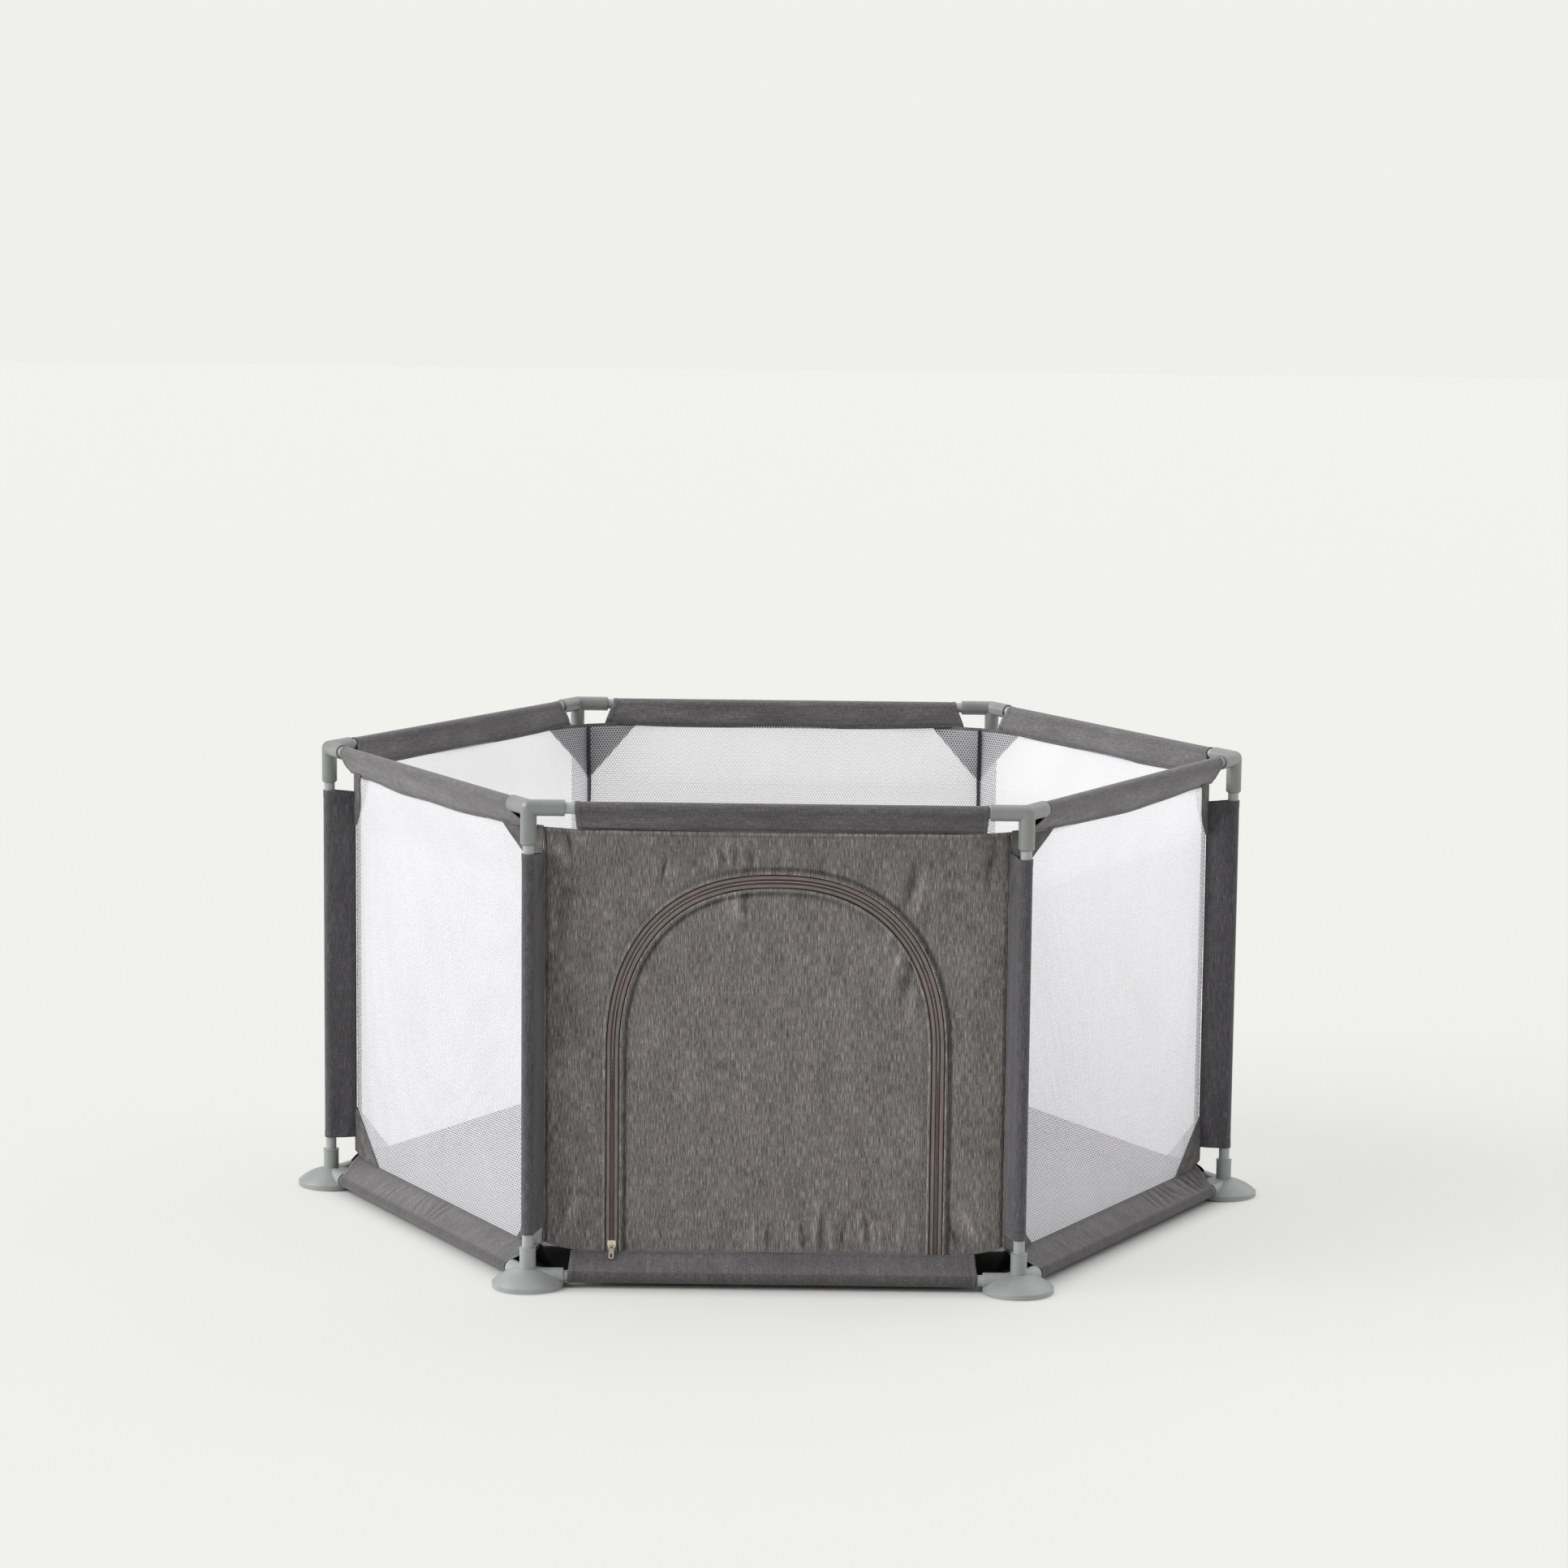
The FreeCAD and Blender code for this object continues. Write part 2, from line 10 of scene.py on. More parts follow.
import bpy
import numpy as np
from mathutils import Matrix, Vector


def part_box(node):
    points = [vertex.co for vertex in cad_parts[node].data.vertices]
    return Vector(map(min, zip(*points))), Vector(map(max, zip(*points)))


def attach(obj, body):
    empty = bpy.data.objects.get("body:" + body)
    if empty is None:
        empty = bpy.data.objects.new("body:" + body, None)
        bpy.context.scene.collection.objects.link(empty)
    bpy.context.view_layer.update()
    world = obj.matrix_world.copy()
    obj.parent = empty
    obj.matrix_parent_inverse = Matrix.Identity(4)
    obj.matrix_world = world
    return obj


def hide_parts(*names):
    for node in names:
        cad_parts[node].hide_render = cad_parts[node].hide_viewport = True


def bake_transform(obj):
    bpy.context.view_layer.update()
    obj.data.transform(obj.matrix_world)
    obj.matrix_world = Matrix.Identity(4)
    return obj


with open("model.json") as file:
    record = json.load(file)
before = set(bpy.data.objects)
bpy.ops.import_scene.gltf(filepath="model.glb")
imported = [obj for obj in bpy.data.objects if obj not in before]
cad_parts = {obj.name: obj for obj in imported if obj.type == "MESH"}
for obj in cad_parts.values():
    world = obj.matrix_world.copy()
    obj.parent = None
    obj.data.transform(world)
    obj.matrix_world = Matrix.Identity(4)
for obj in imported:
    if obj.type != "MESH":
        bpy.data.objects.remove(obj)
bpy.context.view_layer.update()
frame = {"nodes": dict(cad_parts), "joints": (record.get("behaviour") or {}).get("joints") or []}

# -------- sizes read from the frame
SIDES = 6
STEP_ANGLE = 360 / SIDES
FIRST_CORNER_ANGLE = -120
COS30 = math.cos(math.radians(30))


def middle(node):
    low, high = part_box(node)
    return (low + high) / 2


SIDE = middle("upright_pole_3").x               # pole axis to pole axis, and to the pen's middle
APOTHEM = SIDE * COS30
TOP_Z = middle("top_rail_1").z
LOW_Z = middle("bottom_rail_1").z
DOOR_LOW, DOOR_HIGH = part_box("door_surround")
FLAP_LOW, FLAP_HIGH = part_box("door_flap")
FACE_Y = FLAP_LOW.y                             # outer face of the door's cloth
INNER_Y = FLAP_HIGH.y
WALL_INSET = APOTHEM + INNER_Y                  # tubes' plane to the wall's inner face
TOP_INSET = APOTHEM + DOOR_LOW.y - FACE_Y + INNER_Y
WALL_LOW_Z = DOOR_LOW.z
WALL_TOP_Z = DOOR_HIGH.z
ARCH_HALF_WIDTH = -middle("zip_slider").x       # to the middle of the zip
TAPE_SHOWN = ARCH_HALF_WIDTH - FLAP_HIGH.x      # middle of the zip to the cloth's edge
HINGE = next(joint for joint in frame["joints"] if joint["name"] == "door_fold")["pos_m"]

# -------- sewing sizes
SEAM_HALF = DOOR_HIGH.x + 0.0015                # middle of a wall to its corner seam
SEAM_REACH = 0.645                              # middle of the pen to a corner seam
SURROUND_LAP = 0.0006                           # how far the door's cloth passes a corner seam
PATCH_LAP = 0.0013                              # how far a corner patch passes it
MESH_BEND_Z = 0.550                             # above this a mesh wall leans out to its rail
DOOR_BEND_Z = 0.588
LEAN_CORNER = 0.100
LOW_CORNER_RISE = 0.012                         # the walls' lower edge lifts towards the corners
LOW_CORNER_RUN = 0.062
ARCH_SPRING_Z = 0.321
ARCH_RISE = 0.250
ARCH_POWER = 2.35
TAPE_WIDTH = 0.0145
STITCH_PITCH = 0.0040
STITCH_RADIUS = 0.00025
DOOR_STITCH_RADIUS = 0.00030
STITCH_SHARE = 0.72                             # how much of the pitch a stitch covers
STITCH_INSET = 0.0042                           # the door cloth's edge to its row of stitches
SLEEVE_RADIUS = 0.0094
SLEEVE_EDGE = 0.0011                            # half a sleeve's breadth at its seam
SLEEVE_ROWS = 200
SLEEVE_FLAT_STEPS = 14
SLEEVE_ROUND_STEPS = 17
PATCH_STEPS = 26
HIGH_PATCH = 0.082, 0.090                       # a corner patch's width and height
LOW_PATCH = 0.088, 0.080
PATCH_OFF = 0.0018                              # how far its inner face is from the net's
JOIN_WITHIN = 1e-5
NET_PITCH = 0.0044
NET_ROW = 0.0036
NET_HOLE_HALF_WIDTH = 0.00115
NET_HOLE_HALF_HEIGHT = 0.00155

# -------- painted light and shade that follow the shape
RELIEF_PAINTED_SHADE = 170                              # painted shade: how much paler cloth is painted for each metre it stands out, and darker for each metre it sinks
RELIEF_LIMITS = -0.0032, 0.0036                 # heights beyond which the shade stays the same
# painted shade and highlight across the zip's tape, by distance in metres from the middle of the zip: dark
# lines where its hollows and edges lie in shade, pale bands where its raised bands catch the light
TAPE_PAINTED_SHADING = [
    (0.0, "4a4544"), (0.0007, "8a8584"), (0.0014, "d8d3d2"), (0.0022, "5a5554"), (0.0029, "5a5554"),
    (0.0036, "e4e0de"), (0.0056, "ffffff"), (0.0074, "e8e4e2"), (0.0081, "9a9695"), (0.0089, "3c3938"),
]



# -------- numbers
def smooth(t):
    t = np.clip(t, 0, 1)
    return t * t * (3 - 2 * t)


def ridge(distance, width):
    """A smooth bump that is 1 at distance 0."""
    return np.exp(-(distance / width) ** 2)


def rumple(x, y, seed):
    """Smooth noise from -1 to 1 over a unit lattice, the same on every run."""
    table = np.random.default_rng(seed).uniform(-1, 1, (64, 64))
    column = np.floor(x).astype(int)
    row = np.floor(y).astype(int)
    across = smooth(x - column)
    up = smooth(y - row)

    def at(i, j):
        return table[(column + i) % 64, (row + j) % 64]

    low = at(0, 0) * (1 - across) + at(1, 0) * across
    high = at(0, 1) * (1 - across) + at(1, 1) * across
    return low * (1 - up) + high * up


def turned(degrees):
    """What turns points, given as rows, about the pen's middle."""
    return np.array(Matrix.Rotation(math.radians(degrees), 3, "Z")).T


def grid_of(*parts):
    """Points from arrays of their coordinates, each of them a row, a column or whole."""
    return np.stack(np.broadcast_arrays(*parts), -1)


def along_line(points):
    """How far along a line each of its points is."""
    return np.concatenate([[0], np.cumsum(np.linalg.norm(np.diff(points, axis=0), axis=1))])


UNTURNED = np.eye(3)
OUT_OF_WALL_1 = (0, -1, 0)


# -------- meshes
def grid_faces(rows, columns):
    index = np.arange(rows * columns).reshape(rows, columns)
    corners = [index[:-1, :-1], index[:-1, 1:], index[1:, 1:], index[1:, :-1]]
    return np.stack(corners, -1).reshape(-1, 4)


def make_piece(name, points, faces, cloth, material):
    """A smooth mesh from points, lists of equal-sided faces, and flat cloth coordinates."""
    mesh = bpy.data.meshes.new(name)
    face_sets = faces if isinstance(faces, list) else [faces]
    loops = np.concatenate([face_set.ravel() for face_set in face_sets]).astype(np.int32)
    sizes = np.concatenate([np.full(len(face_set), face_set.shape[1]) for face_set in face_sets])
    starts = np.concatenate([[0], np.cumsum(sizes)[:-1]]).astype(np.int32)
    mesh.vertices.add(len(points))
    mesh.vertices.foreach_set("co", np.asarray(points, np.float32).ravel())
    mesh.loops.add(len(loops))
    mesh.loops.foreach_set("vertex_index", loops)
    mesh.polygons.add(len(sizes))
    mesh.polygons.foreach_set("loop_start", starts)
    layer = mesh.uv_layers.new(name="cloth")
    layer.data.foreach_set("uv", np.asarray(cloth, np.float32)[loops].ravel())
    mesh.update(calc_edges=True)
    mesh.validate()
    mesh.shade_smooth()
    mesh.materials.append(material)
    piece = bpy.data.objects.new(name, mesh)
    bpy.context.scene.collection.objects.link(piece)
    return piece


def mark_painted_shade(piece, height):
    """Store how far each point stands out, for the painted light and shade on the cloth."""
    layer = piece.data.attributes.new("relief", "FLOAT", "POINT")
    layer.data.foreach_set("value", np.clip(height, *RELIEF_LIMITS).astype(np.float32).ravel())


def make_cloth(name, points, faces, cloth, material, slot, held,
               thickness=0.0, inner=None, rests_on=()):
    """A piece of sewn cloth, whose UVs are its flat size, with a thickness if one is given."""
    piece = make_piece(name, points, faces, cloth, material)
    if thickness:
        shell = piece.modifiers.new("thickness", "SOLIDIFY")
        shell.thickness = thickness
        shell.offset = -1
        shell.use_even_offset = False
        if inner:
            piece.data.materials.append(inner)
            shell.material_offset = 1
    return piece


def facing(points, faces, outward):
    """The same faces, wound so that the first one's normal points outward."""
    first = points[faces[0]]
    if np.dot(np.cross(first[1] - first[0], first[-1] - first[0]), outward) < 0:
        return faces[:, ::-1]
    return faces


def cloth_grid(name, grid, cloth, outward, material, slot, held, place=UNTURNED, **more):
    """Cloth from a grid of points and one of their flat coordinates, turned to its place."""
    points = grid.reshape(-1, 3)
    faces = facing(points, grid_faces(*grid.shape[:2]), outward)
    return make_cloth(name, points @ place, faces, cloth.reshape(-1, 2), material, slot, held, **more)


def join_ends(piece, name):
    """Join the points that meet, before the cloth gets its thickness."""
    joining = piece.modifiers.new(name, "WELD")
    joining.merge_threshold = JOIN_WITHIN
    piece.modifiers.move(1, 0)


# -------- materials
def tint(code):
    """Six hex digits as the linear colour that shaders take."""
    parts = [int(code[i:i + 2], 16) / 255 for i in (0, 2, 4)]
    return [((part + 0.055) / 1.055) ** 2.4 if part > 0.04 else part / 12.92 for part in parts] + [1]


class Nodes:
    """Short ways to add shader nodes. A value is a plain one or another node's output."""

    def __init__(self, tree):
        self.tree = tree

    def plug(self, value, socket):
        if isinstance(value, bpy.types.NodeSocket):
            self.tree.links.new(value, socket)
        else:
            socket.default_value = value

    def add(self, kind, settings=None, **inputs):
        node = self.tree.nodes.new("ShaderNode" + kind)
        for key, value in (settings or {}).items():
            setattr(node, key, value)
        for key, value in inputs.items():
            self.plug(value, node.inputs[key.replace("_", " ")])
        return node

    def ordered(self, kind, settings, *values):
        """A node whose inputs are filled in their own order."""
        node = self.add(kind, settings)
        for socket, value in zip(node.inputs, values):
            self.plug(value, socket)
        return node

    def maths(self, operation, *values):
        return self.ordered("Math", {"operation": operation}, *values).outputs[0]

    def mix(self, factor, first, second, kind="MIX"):
        return self.ordered("MixRGB", {"blend_type": kind}, factor, first, second).outputs[0]

    def dot(self, vector, direction):
        product = self.ordered("VectorMath", {"operation": "DOT_PRODUCT"}, vector, direction)
        return product.outputs["Value"]

    def ranged(self, value, start, end, top=1.0):
        """A smooth climb from 0 to top while the value goes from start to end."""
        return self.add("MapRange", {"interpolation_type": "SMOOTHSTEP"}, Value=value,
                        From_Min=start, From_Max=end, To_Max=top).outputs["Result"]


class Finish(Nodes):
    """A Principled material, with the textures and colours that feed it."""

    def __init__(self, name, **sockets):
        self.material = bpy.data.materials.new(name)
        self.material.use_nodes = True
        super().__init__(self.material.node_tree)
        self.shader = self.tree.nodes["Principled BSDF"]
        for socket, value in sockets.items():
            self.shader.inputs[socket.replace("_", " ")].default_value = value

    def noise(self, source, scale, detail=2.0, roughness=0.5):
        """Noise over stretched UV or Object coordinates."""
        coordinates = self.add("TexCoord").outputs[source]
        place = self.add("Mapping", Vector=coordinates, Scale=scale).outputs["Vector"]
        return self.add("TexNoise", Vector=place, Scale=1.0, Detail=detail, Roughness=roughness).outputs[0]

    def bands(self, direction, width):
        """Soft bands across X or Y of the flat cloth."""
        place = self.add("TexCoord").outputs["UV"]
        return self.add("TexWave", {"bands_direction": direction}, Vector=place,
                        Scale=math.pi / (10 * width)).outputs["Fac"]

    def weave(self, thread):
        """A plain weave: over and under threads of one width."""
        return self.maths("MULTIPLY", self.bands("X", thread), self.bands("Y", thread))

    def blend(self, shares):
        """The weighted sum of some noises."""
        total = 0.0
        for value, share in shares:
            total = self.maths("ADD", self.maths("MULTIPLY", value, share), total)
        return total

    def ramp(self, value, stops):
        node = self.add("ValToRGB", Fac=value)
        elements = node.color_ramp.elements
        while len(elements) < len(stops):
            elements.new(0.5)
        for element, (place, code) in zip(elements, stops):
            element.position = place
            element.color = tint(code)
        return node.outputs["Color"]

    def feed(self, socket, value):
        self.tree.links.new(value, self.shader.inputs[socket])

    def paint(self, value, dark, pale):
        """The base colour, from one shade to another."""
        self.feed("Base Color", self.ramp(value, [(0.3, dark), (0.7, pale)]))

    def bump(self, height, depth):
        node = self.add("Bump", Height=height, Distance=depth, Strength=1.0)
        self.feed("Normal", node.outputs["Normal"])


def heather(name, dark, plain, pale, cross=0.0, relief=True):
    """Melange polyester: long flecks of dark and pale yarn along V, in a fine plain weave. With
    relief, cloth that stands out is painted paler and cloth that sinks darker, as painted light and shade."""
    finish = Finish(name, Roughness=0.86, Sheen_Weight=0.2, Sheen_Roughness=0.5, Specular_IOR_Level=0.28)
    streaks = finish.noise("UV", (820, 66, 1), roughness=0.55)
    slubs = finish.noise("UV", (520, 18, 1))
    flecks = finish.noise("UV", (1600, 220, 1))
    clouds = finish.noise("UV", (36, 12, 1), detail=3)
    across = finish.noise("UV", (110, 900, 1))
    yarn = finish.blend([(streaks, 0.50 - cross), (slubs, 0.16), (across, cross),
                         (flecks, 0.24), (clouds, 0.10)])
    shade = finish.ramp(yarn, [(0.38, dark), (0.50, plain), (0.62, pale)])
    warmth = finish.ramp(finish.noise("UV", (420, 90, 1)), [(0.40, "fbf7f3"), (0.60, "f3f5f8")])
    shade = finish.mix(1.0, shade, warmth, "MULTIPLY")
    if relief:
        # painted light and shade: cloth that stands out is painted paler, cloth that sinks darker
        height = finish.add("Attribute", {"attribute_name": "relief"}).outputs["Fac"]
        painted_gain = finish.maths("MULTIPLY_ADD", height, RELIEF_PAINTED_SHADE, 1.0)
        shade = finish.mix(1.0, shade, painted_gain, "MULTIPLY")
    finish.feed("Base Color", shade)
    finish.bump(finish.blend([(finish.weave(0.0007), 0.4), (streaks, 0.6)]), 0.00010)
    return finish.material


def net_yarn():
    """Pale yarn that lets part of the light through."""
    finish = Finish("net_yarn", Roughness=0.7, Sheen_Weight=0.2, Specular_IOR_Level=0.3)
    strands = finish.noise("UV", (2600, 2600, 1))
    clouds = finish.noise("UV", (9, 5, 1))
    shade = finish.ramp(finish.blend([(strands, 0.5), (clouds, 0.5)]), [(0.3, "e3e2e7"), (0.7, "efeef2")])
    finish.feed("Base Color", shade)
    finish.bump(strands, 0.00008)
    glow = finish.add("BsdfTranslucent", Color=shade)
    both = finish.ordered("MixShader", {}, 0.42, finish.shader.outputs[0], glow.outputs[0])
    finish.plug(both.outputs[0], finish.tree.nodes["Material Output"].inputs["Surface"])
    return finish.material


def ribbed_tape(name, dark, pale, roughness, rib, painted_shading=()):
    """Woven tape with ribs across it, and lines of painted shade and painted highlight along it at
    distances from its edge.
    """
    finish = Finish(name, Roughness=roughness, Sheen_Weight=0.15, Specular_IOR_Level=0.45)
    threads = finish.noise("UV", (2400, 700, 1))
    patches = finish.noise("UV", (150, 40, 1))
    shade = finish.ramp(finish.blend([(threads, 0.55), (patches, 0.45)]), [(0.35, dark), (0.65, pale)])
    # painted shade and highlight in lines along the tape
    if painted_shading:
        place = finish.add("TexCoord").outputs["UV"]
        across = finish.add("SeparateXYZ", Vector=place).outputs["X"]
        share = finish.maths("MULTIPLY", across, 1 / TAPE_WIDTH)
        stops = [(distance / TAPE_WIDTH, code) for distance, code in painted_shading]
        shade = finish.mix(1.0, shade, finish.ramp(share, stops), "MULTIPLY")
    finish.feed("Base Color", shade)
    finish.bump(finish.blend([(finish.bands("Y", rib), 0.5), (threads, 0.5)]), 0.00008)
    return finish.material


def coated_cloth(name, dark, pale, roughness):
    """Cloth seen from its waterproofed side, or a plain heavy weave."""
    finish = Finish(name, Roughness=roughness, Specular_IOR_Level=0.4)
    clouds = finish.noise("UV", (60, 60, 1), detail=4)
    finish.paint(clouds, dark, pale)
    finish.bump(finish.blend([(finish.weave(0.0008), 0.8), (clouds, 0.4)]), 0.00012)
    return finish.material


def moulded(name, dark, pale, roughness, grain, depth):
    """Moulded plastic or rubber, or painted steel, with faint flow marks, scuffs and a fine grain."""
    finish = Finish(name, Specular_IOR_Level=0.7)
    flow = finish.noise("Object", (22, 22, 9), detail=4)
    scuffs = finish.noise("Object", (160, 160, 420), detail=5, roughness=0.7)
    finish.paint(finish.blend([(flow, 0.7), (scuffs, 0.3)]), dark, pale)
    finish.feed("Roughness", finish.maths("MULTIPLY_ADD", scuffs, 0.25, roughness - 0.12))
    finish.bump(finish.noise("Object", (grain, grain, grain)), depth)
    return finish.material


def polished_metal():
    finish = Finish("nickel", Metallic=1.0)
    cloud = finish.noise("Object", (900, 900, 900), detail=3)
    finish.paint(cloud, "bdb3a0", "efe6d6")
    finish.feed("Roughness", finish.maths("MULTIPLY_ADD", cloud, 0.3, 0.12))
    finish.bump(finish.noise("Object", (2500, 2500, 2500)), 0.00005)
    return finish.material


def thread(name, dark, pale):
    finish = Finish(name, Roughness=0.55, Sheen_Weight=0.2)
    twist = finish.noise("Object", (3000, 3000, 3000))
    finish.paint(twist, dark, pale)
    finish.bump(twist, 0.0001)
    return finish.material


HEATHER = heather("heather", "464445", "605e5f", "828081", cross=0.28)
HEATHER_DOOR = heather("heather_door", "4a4746", "716d6b", "a09c9a")
# a darker copy of the heather for the door's top sleeve: painted shade
HEATHER_FRONT_PAINTED_SHADE = heather("heather_front_painted_shade", "3f3d3e", "565455", "757374", cross=0.28)
HEATHER_POLE = heather("heather_pole", "3b3a3c", "4f4e51", "6d6c70", cross=0.15)
LINING = coated_cloth("heather_lining", "3a393a", "4a4949", 0.7)
PATCH = coated_cloth("patch_cloth", "4a4848", "6a6867", 0.8)
FLOOR_TOP = heather("floor_cloth", "454446", "5c5a5d", "7a787c", relief=False)
# near black: the floor cloth's coated lower face, made darker still as painted shade for the gap under its
# rim
FLOOR_COATING_AND_SHADE = coated_cloth("floor_coating_and_shade", "0e0d0c", "191716", 0.55)
NET = net_yarn()
TAPE = ribbed_tape("zip_tape", "6b5e5b", "8b7d79", 0.30, 0.0006, TAPE_PAINTED_SHADING)
BINDING = ribbed_tape("binding", "2f2e30", "454446", 0.7, 0.0008)
STEEL = moulded("painted_steel", "949897", "a5a9a8", 0.40, 2600, 0.00002)
PLASTIC = moulded("moulded_plastic", "737674", "858886", 0.33, 1800, 0.00004)
FOOT_PLASTIC = moulded("foot_plastic", "868a88", "999d9b", 0.38, 1800, 0.00004)
RUBBER = moulded("rubber", "1d1e1f", "2b2c2d", 0.8, 1200, 0.0001)
NICKEL = polished_metal()
PALE_THREAD = thread("pale_thread", "8f8d8b", "c9c8c6")
DARK_THREAD = thread("dark_thread", "2c2b2b", "5b5a5a")

# what the CAD's own parts are made of, by how their names start; a later row overrides
NODE_MATERIALS = {
    "upright_pole": STEEL, "top_rail": STEEL, "bottom_rail": STEEL, "top_corner": PLASTIC,
    "foot_": FOOT_PLASTIC, "foot_pads": RUBBER, "zip_": NICKEL,
}
for prefix, material in NODE_MATERIALS.items():
    for name, node in frame["nodes"].items():
        if name.startswith(prefix):
            node.data.materials.clear()
            node.data.materials.append(material)


# -------- stitches
def stitches(name, starts, ends, radius, material):
    """Short thread dashes from each start to its end, as slim spindles."""
    sides = 6
    steps = [(0.0, 0.25), (0.18, 1.0), (0.82, 1.0), (1.0, 0.25)]
    run = ends - starts
    unit = run / np.linalg.norm(run, axis=1, keepdims=True)
    helper = np.where(abs(unit[:, 1:2]) > 0.8, [[1.0, 0, 0]], [[0, 1.0, 0]])
    first = np.cross(unit, helper)
    first /= np.linalg.norm(first, axis=1, keepdims=True)
    second = np.cross(unit, first)
    rings = []
    for share, girth in steps:
        for side in range(sides):
            angle = 2 * math.pi * side / sides
            spoke = first * math.cos(angle) + second * math.sin(angle)
            rings.append(starts + run * share + spoke * radius * girth)
    points = np.stack(rings, 1).reshape(-1, 3)
    index = np.arange(len(steps) * sides).reshape(len(steps), sides)
    beside = np.roll(index, -1, axis=1)
    pattern = np.stack([index[:-1], beside[:-1], beside[1:], index[1:]], -1).reshape(-1, 4)
    offsets = np.arange(len(starts))[:, None, None] * index.size
    quads = (pattern + offsets).reshape(-1, 4)
    caps = (np.stack([index[0, ::-1], index[-1]]) + offsets).reshape(-1, sides)
    cloth = points[:, [0, 2]]
    return make_piece(name, points, [quads, caps], cloth, material)


def dashes(line):
    """Start and end points of stitches along a line of points."""
    lengths = along_line(line)
    starts = np.arange(0, lengths[-1] - STITCH_PITCH, STITCH_PITCH)

    def at(distance):
        return np.stack([np.interp(distance, lengths, line[:, axis]) for axis in range(3)], 1)

    return at(starts), at(starts + STITCH_PITCH * STITCH_SHARE)


def topstitch(name, lines, radius, material, body):
    """Rows of stitches along some lines, as one piece."""
    starts, ends = (np.concatenate(points) for points in zip(*[dashes(line) for line in lines]))
    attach(stitches(name, starts, ends, radius, material), body)


# -------- wall shape
def lean(x, z, bend):
    rise = smooth((z - bend) / (WALL_TOP_Z - bend) / 1.15) ** 0.8
    side = np.sin(np.clip((SEAM_HALF - abs(x)) / LEAN_CORNER, 0, 1) * math.pi / 2)
    return rise * side


def wall_y(x, z, bend):
    """Where wall 1's inner face is."""
    return INNER_Y - (WALL_INSET - TOP_INSET) * lean(x, z, bend)


def lifted(x, z):
    """Heights with the wall's lower edge lifted towards the corners."""
    rise = LOW_CORNER_RISE * np.clip((abs(x) - SEAM_HALF + LOW_CORNER_RUN) / LOW_CORNER_RUN, 0, 1) ** 2
    return z + rise * np.clip(1 - (z - WALL_LOW_Z) / 0.08, 0, 1)


# -------- mesh walls
def joined(*ends):
    """Faces that take one corner each from some equal blocks of cells."""
    return np.stack([cells[..., number] for cells, number in ends], -1).reshape(-1, len(ends))


def net_lattice():
    """A knitted net as one sheet with a six-sided hole in each cell, in flat coordinates."""
    columns = int(2 * SEAM_HALF / NET_PITCH)
    rows = int((WALL_TOP_Z - WALL_LOW_Z) / NET_ROW) + 1
    column, row = np.meshgrid(np.arange(columns), np.arange(rows))
    x = (column + 0.25 + 0.5 * (row % 2)) * NET_PITCH - columns * NET_PITCH / 2
    z = WALL_LOW_Z + row * NET_ROW
    half_width = NET_HOLE_HALF_WIDTH
    half_height = NET_HOLE_HALF_HEIGHT
    hole = np.array([(0, half_height), (-half_width, half_height / 2), (-half_width, -half_height / 2),
                     (0, -half_height), (half_width, -half_height / 2), (half_width, half_height / 2)])
    flat = np.stack([x, z], -1)[:, :, None, :] + hole
    corner = np.arange(rows * columns * 6).reshape(rows, columns, 6)
    here, beside = corner[:, :-1], corner[:, 1:]
    quads = [joined((here, 4), (beside, 2), (beside, 1), (here, 5))]
    triangles = []
    for parity in (0, 1):
        low = corner[parity:-1:2]
        above = corner[parity + 1::2][:len(low)]
        low_left, low_right = low[:, :-1], low[:, 1:]
        above_left, above_right = above[:, :-1], above[:, 1:]
        rightward = (low_left, above_right) if parity else (low, above)
        leftward = (low, above) if parity else (low_right, above_left)
        here, over = rightward
        quads.append(joined((here, 5), (over, 3), (over, 2), (here, 0)))
        here, over = leftward
        quads.append(joined((here, 0), (over, 4), (over, 3), (here, 1)))
        here, over = rightward if parity else leftward
        triangles.append(joined((here, 0), (above_right, 2), (above_left, 4)))
        triangles.append(joined((low_left, 5), (low_right, 1), (over, 3)))
    return flat.reshape(-1, 2), [np.concatenate(quads), np.concatenate(triangles)]


def mesh_wall(number, flat, faces):
    """Mesh wall `number`, on wall number + 1: pulled flat, with slight slack between its seams."""
    x, z = flat[:, 0], lifted(flat[:, 0], flat[:, 1])
    off_sides = smooth((SEAM_HALF - abs(x)) / 0.12)
    slack = off_sides * smooth((z - WALL_LOW_Z) / 0.1) * smooth((WALL_TOP_Z - z) / 0.1)
    sway = 0.003 * rumple(x * 3.1 + 7, z * 2.3 + 3, 20 + number)
    sway = sway + 0.0007 * rumple(x * 40, z * 3, 40 + number)
    y = wall_y(x, z, MESH_BEND_Z) + sway * slack
    points = np.stack([x, y, z], 1) @ turned(STEP_ANGLE * number)
    piece = make_cloth("mesh_wall_%d" % number, points, faces, flat, NET, "mesh_fabric", "stretched",
                       rests_on=["top_sleeve_%d" % (number + 1), "bottom_sleeve_%d" % (number + 1)])
    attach(piece, "frame")
    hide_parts("mesh_panel_%d" % number)


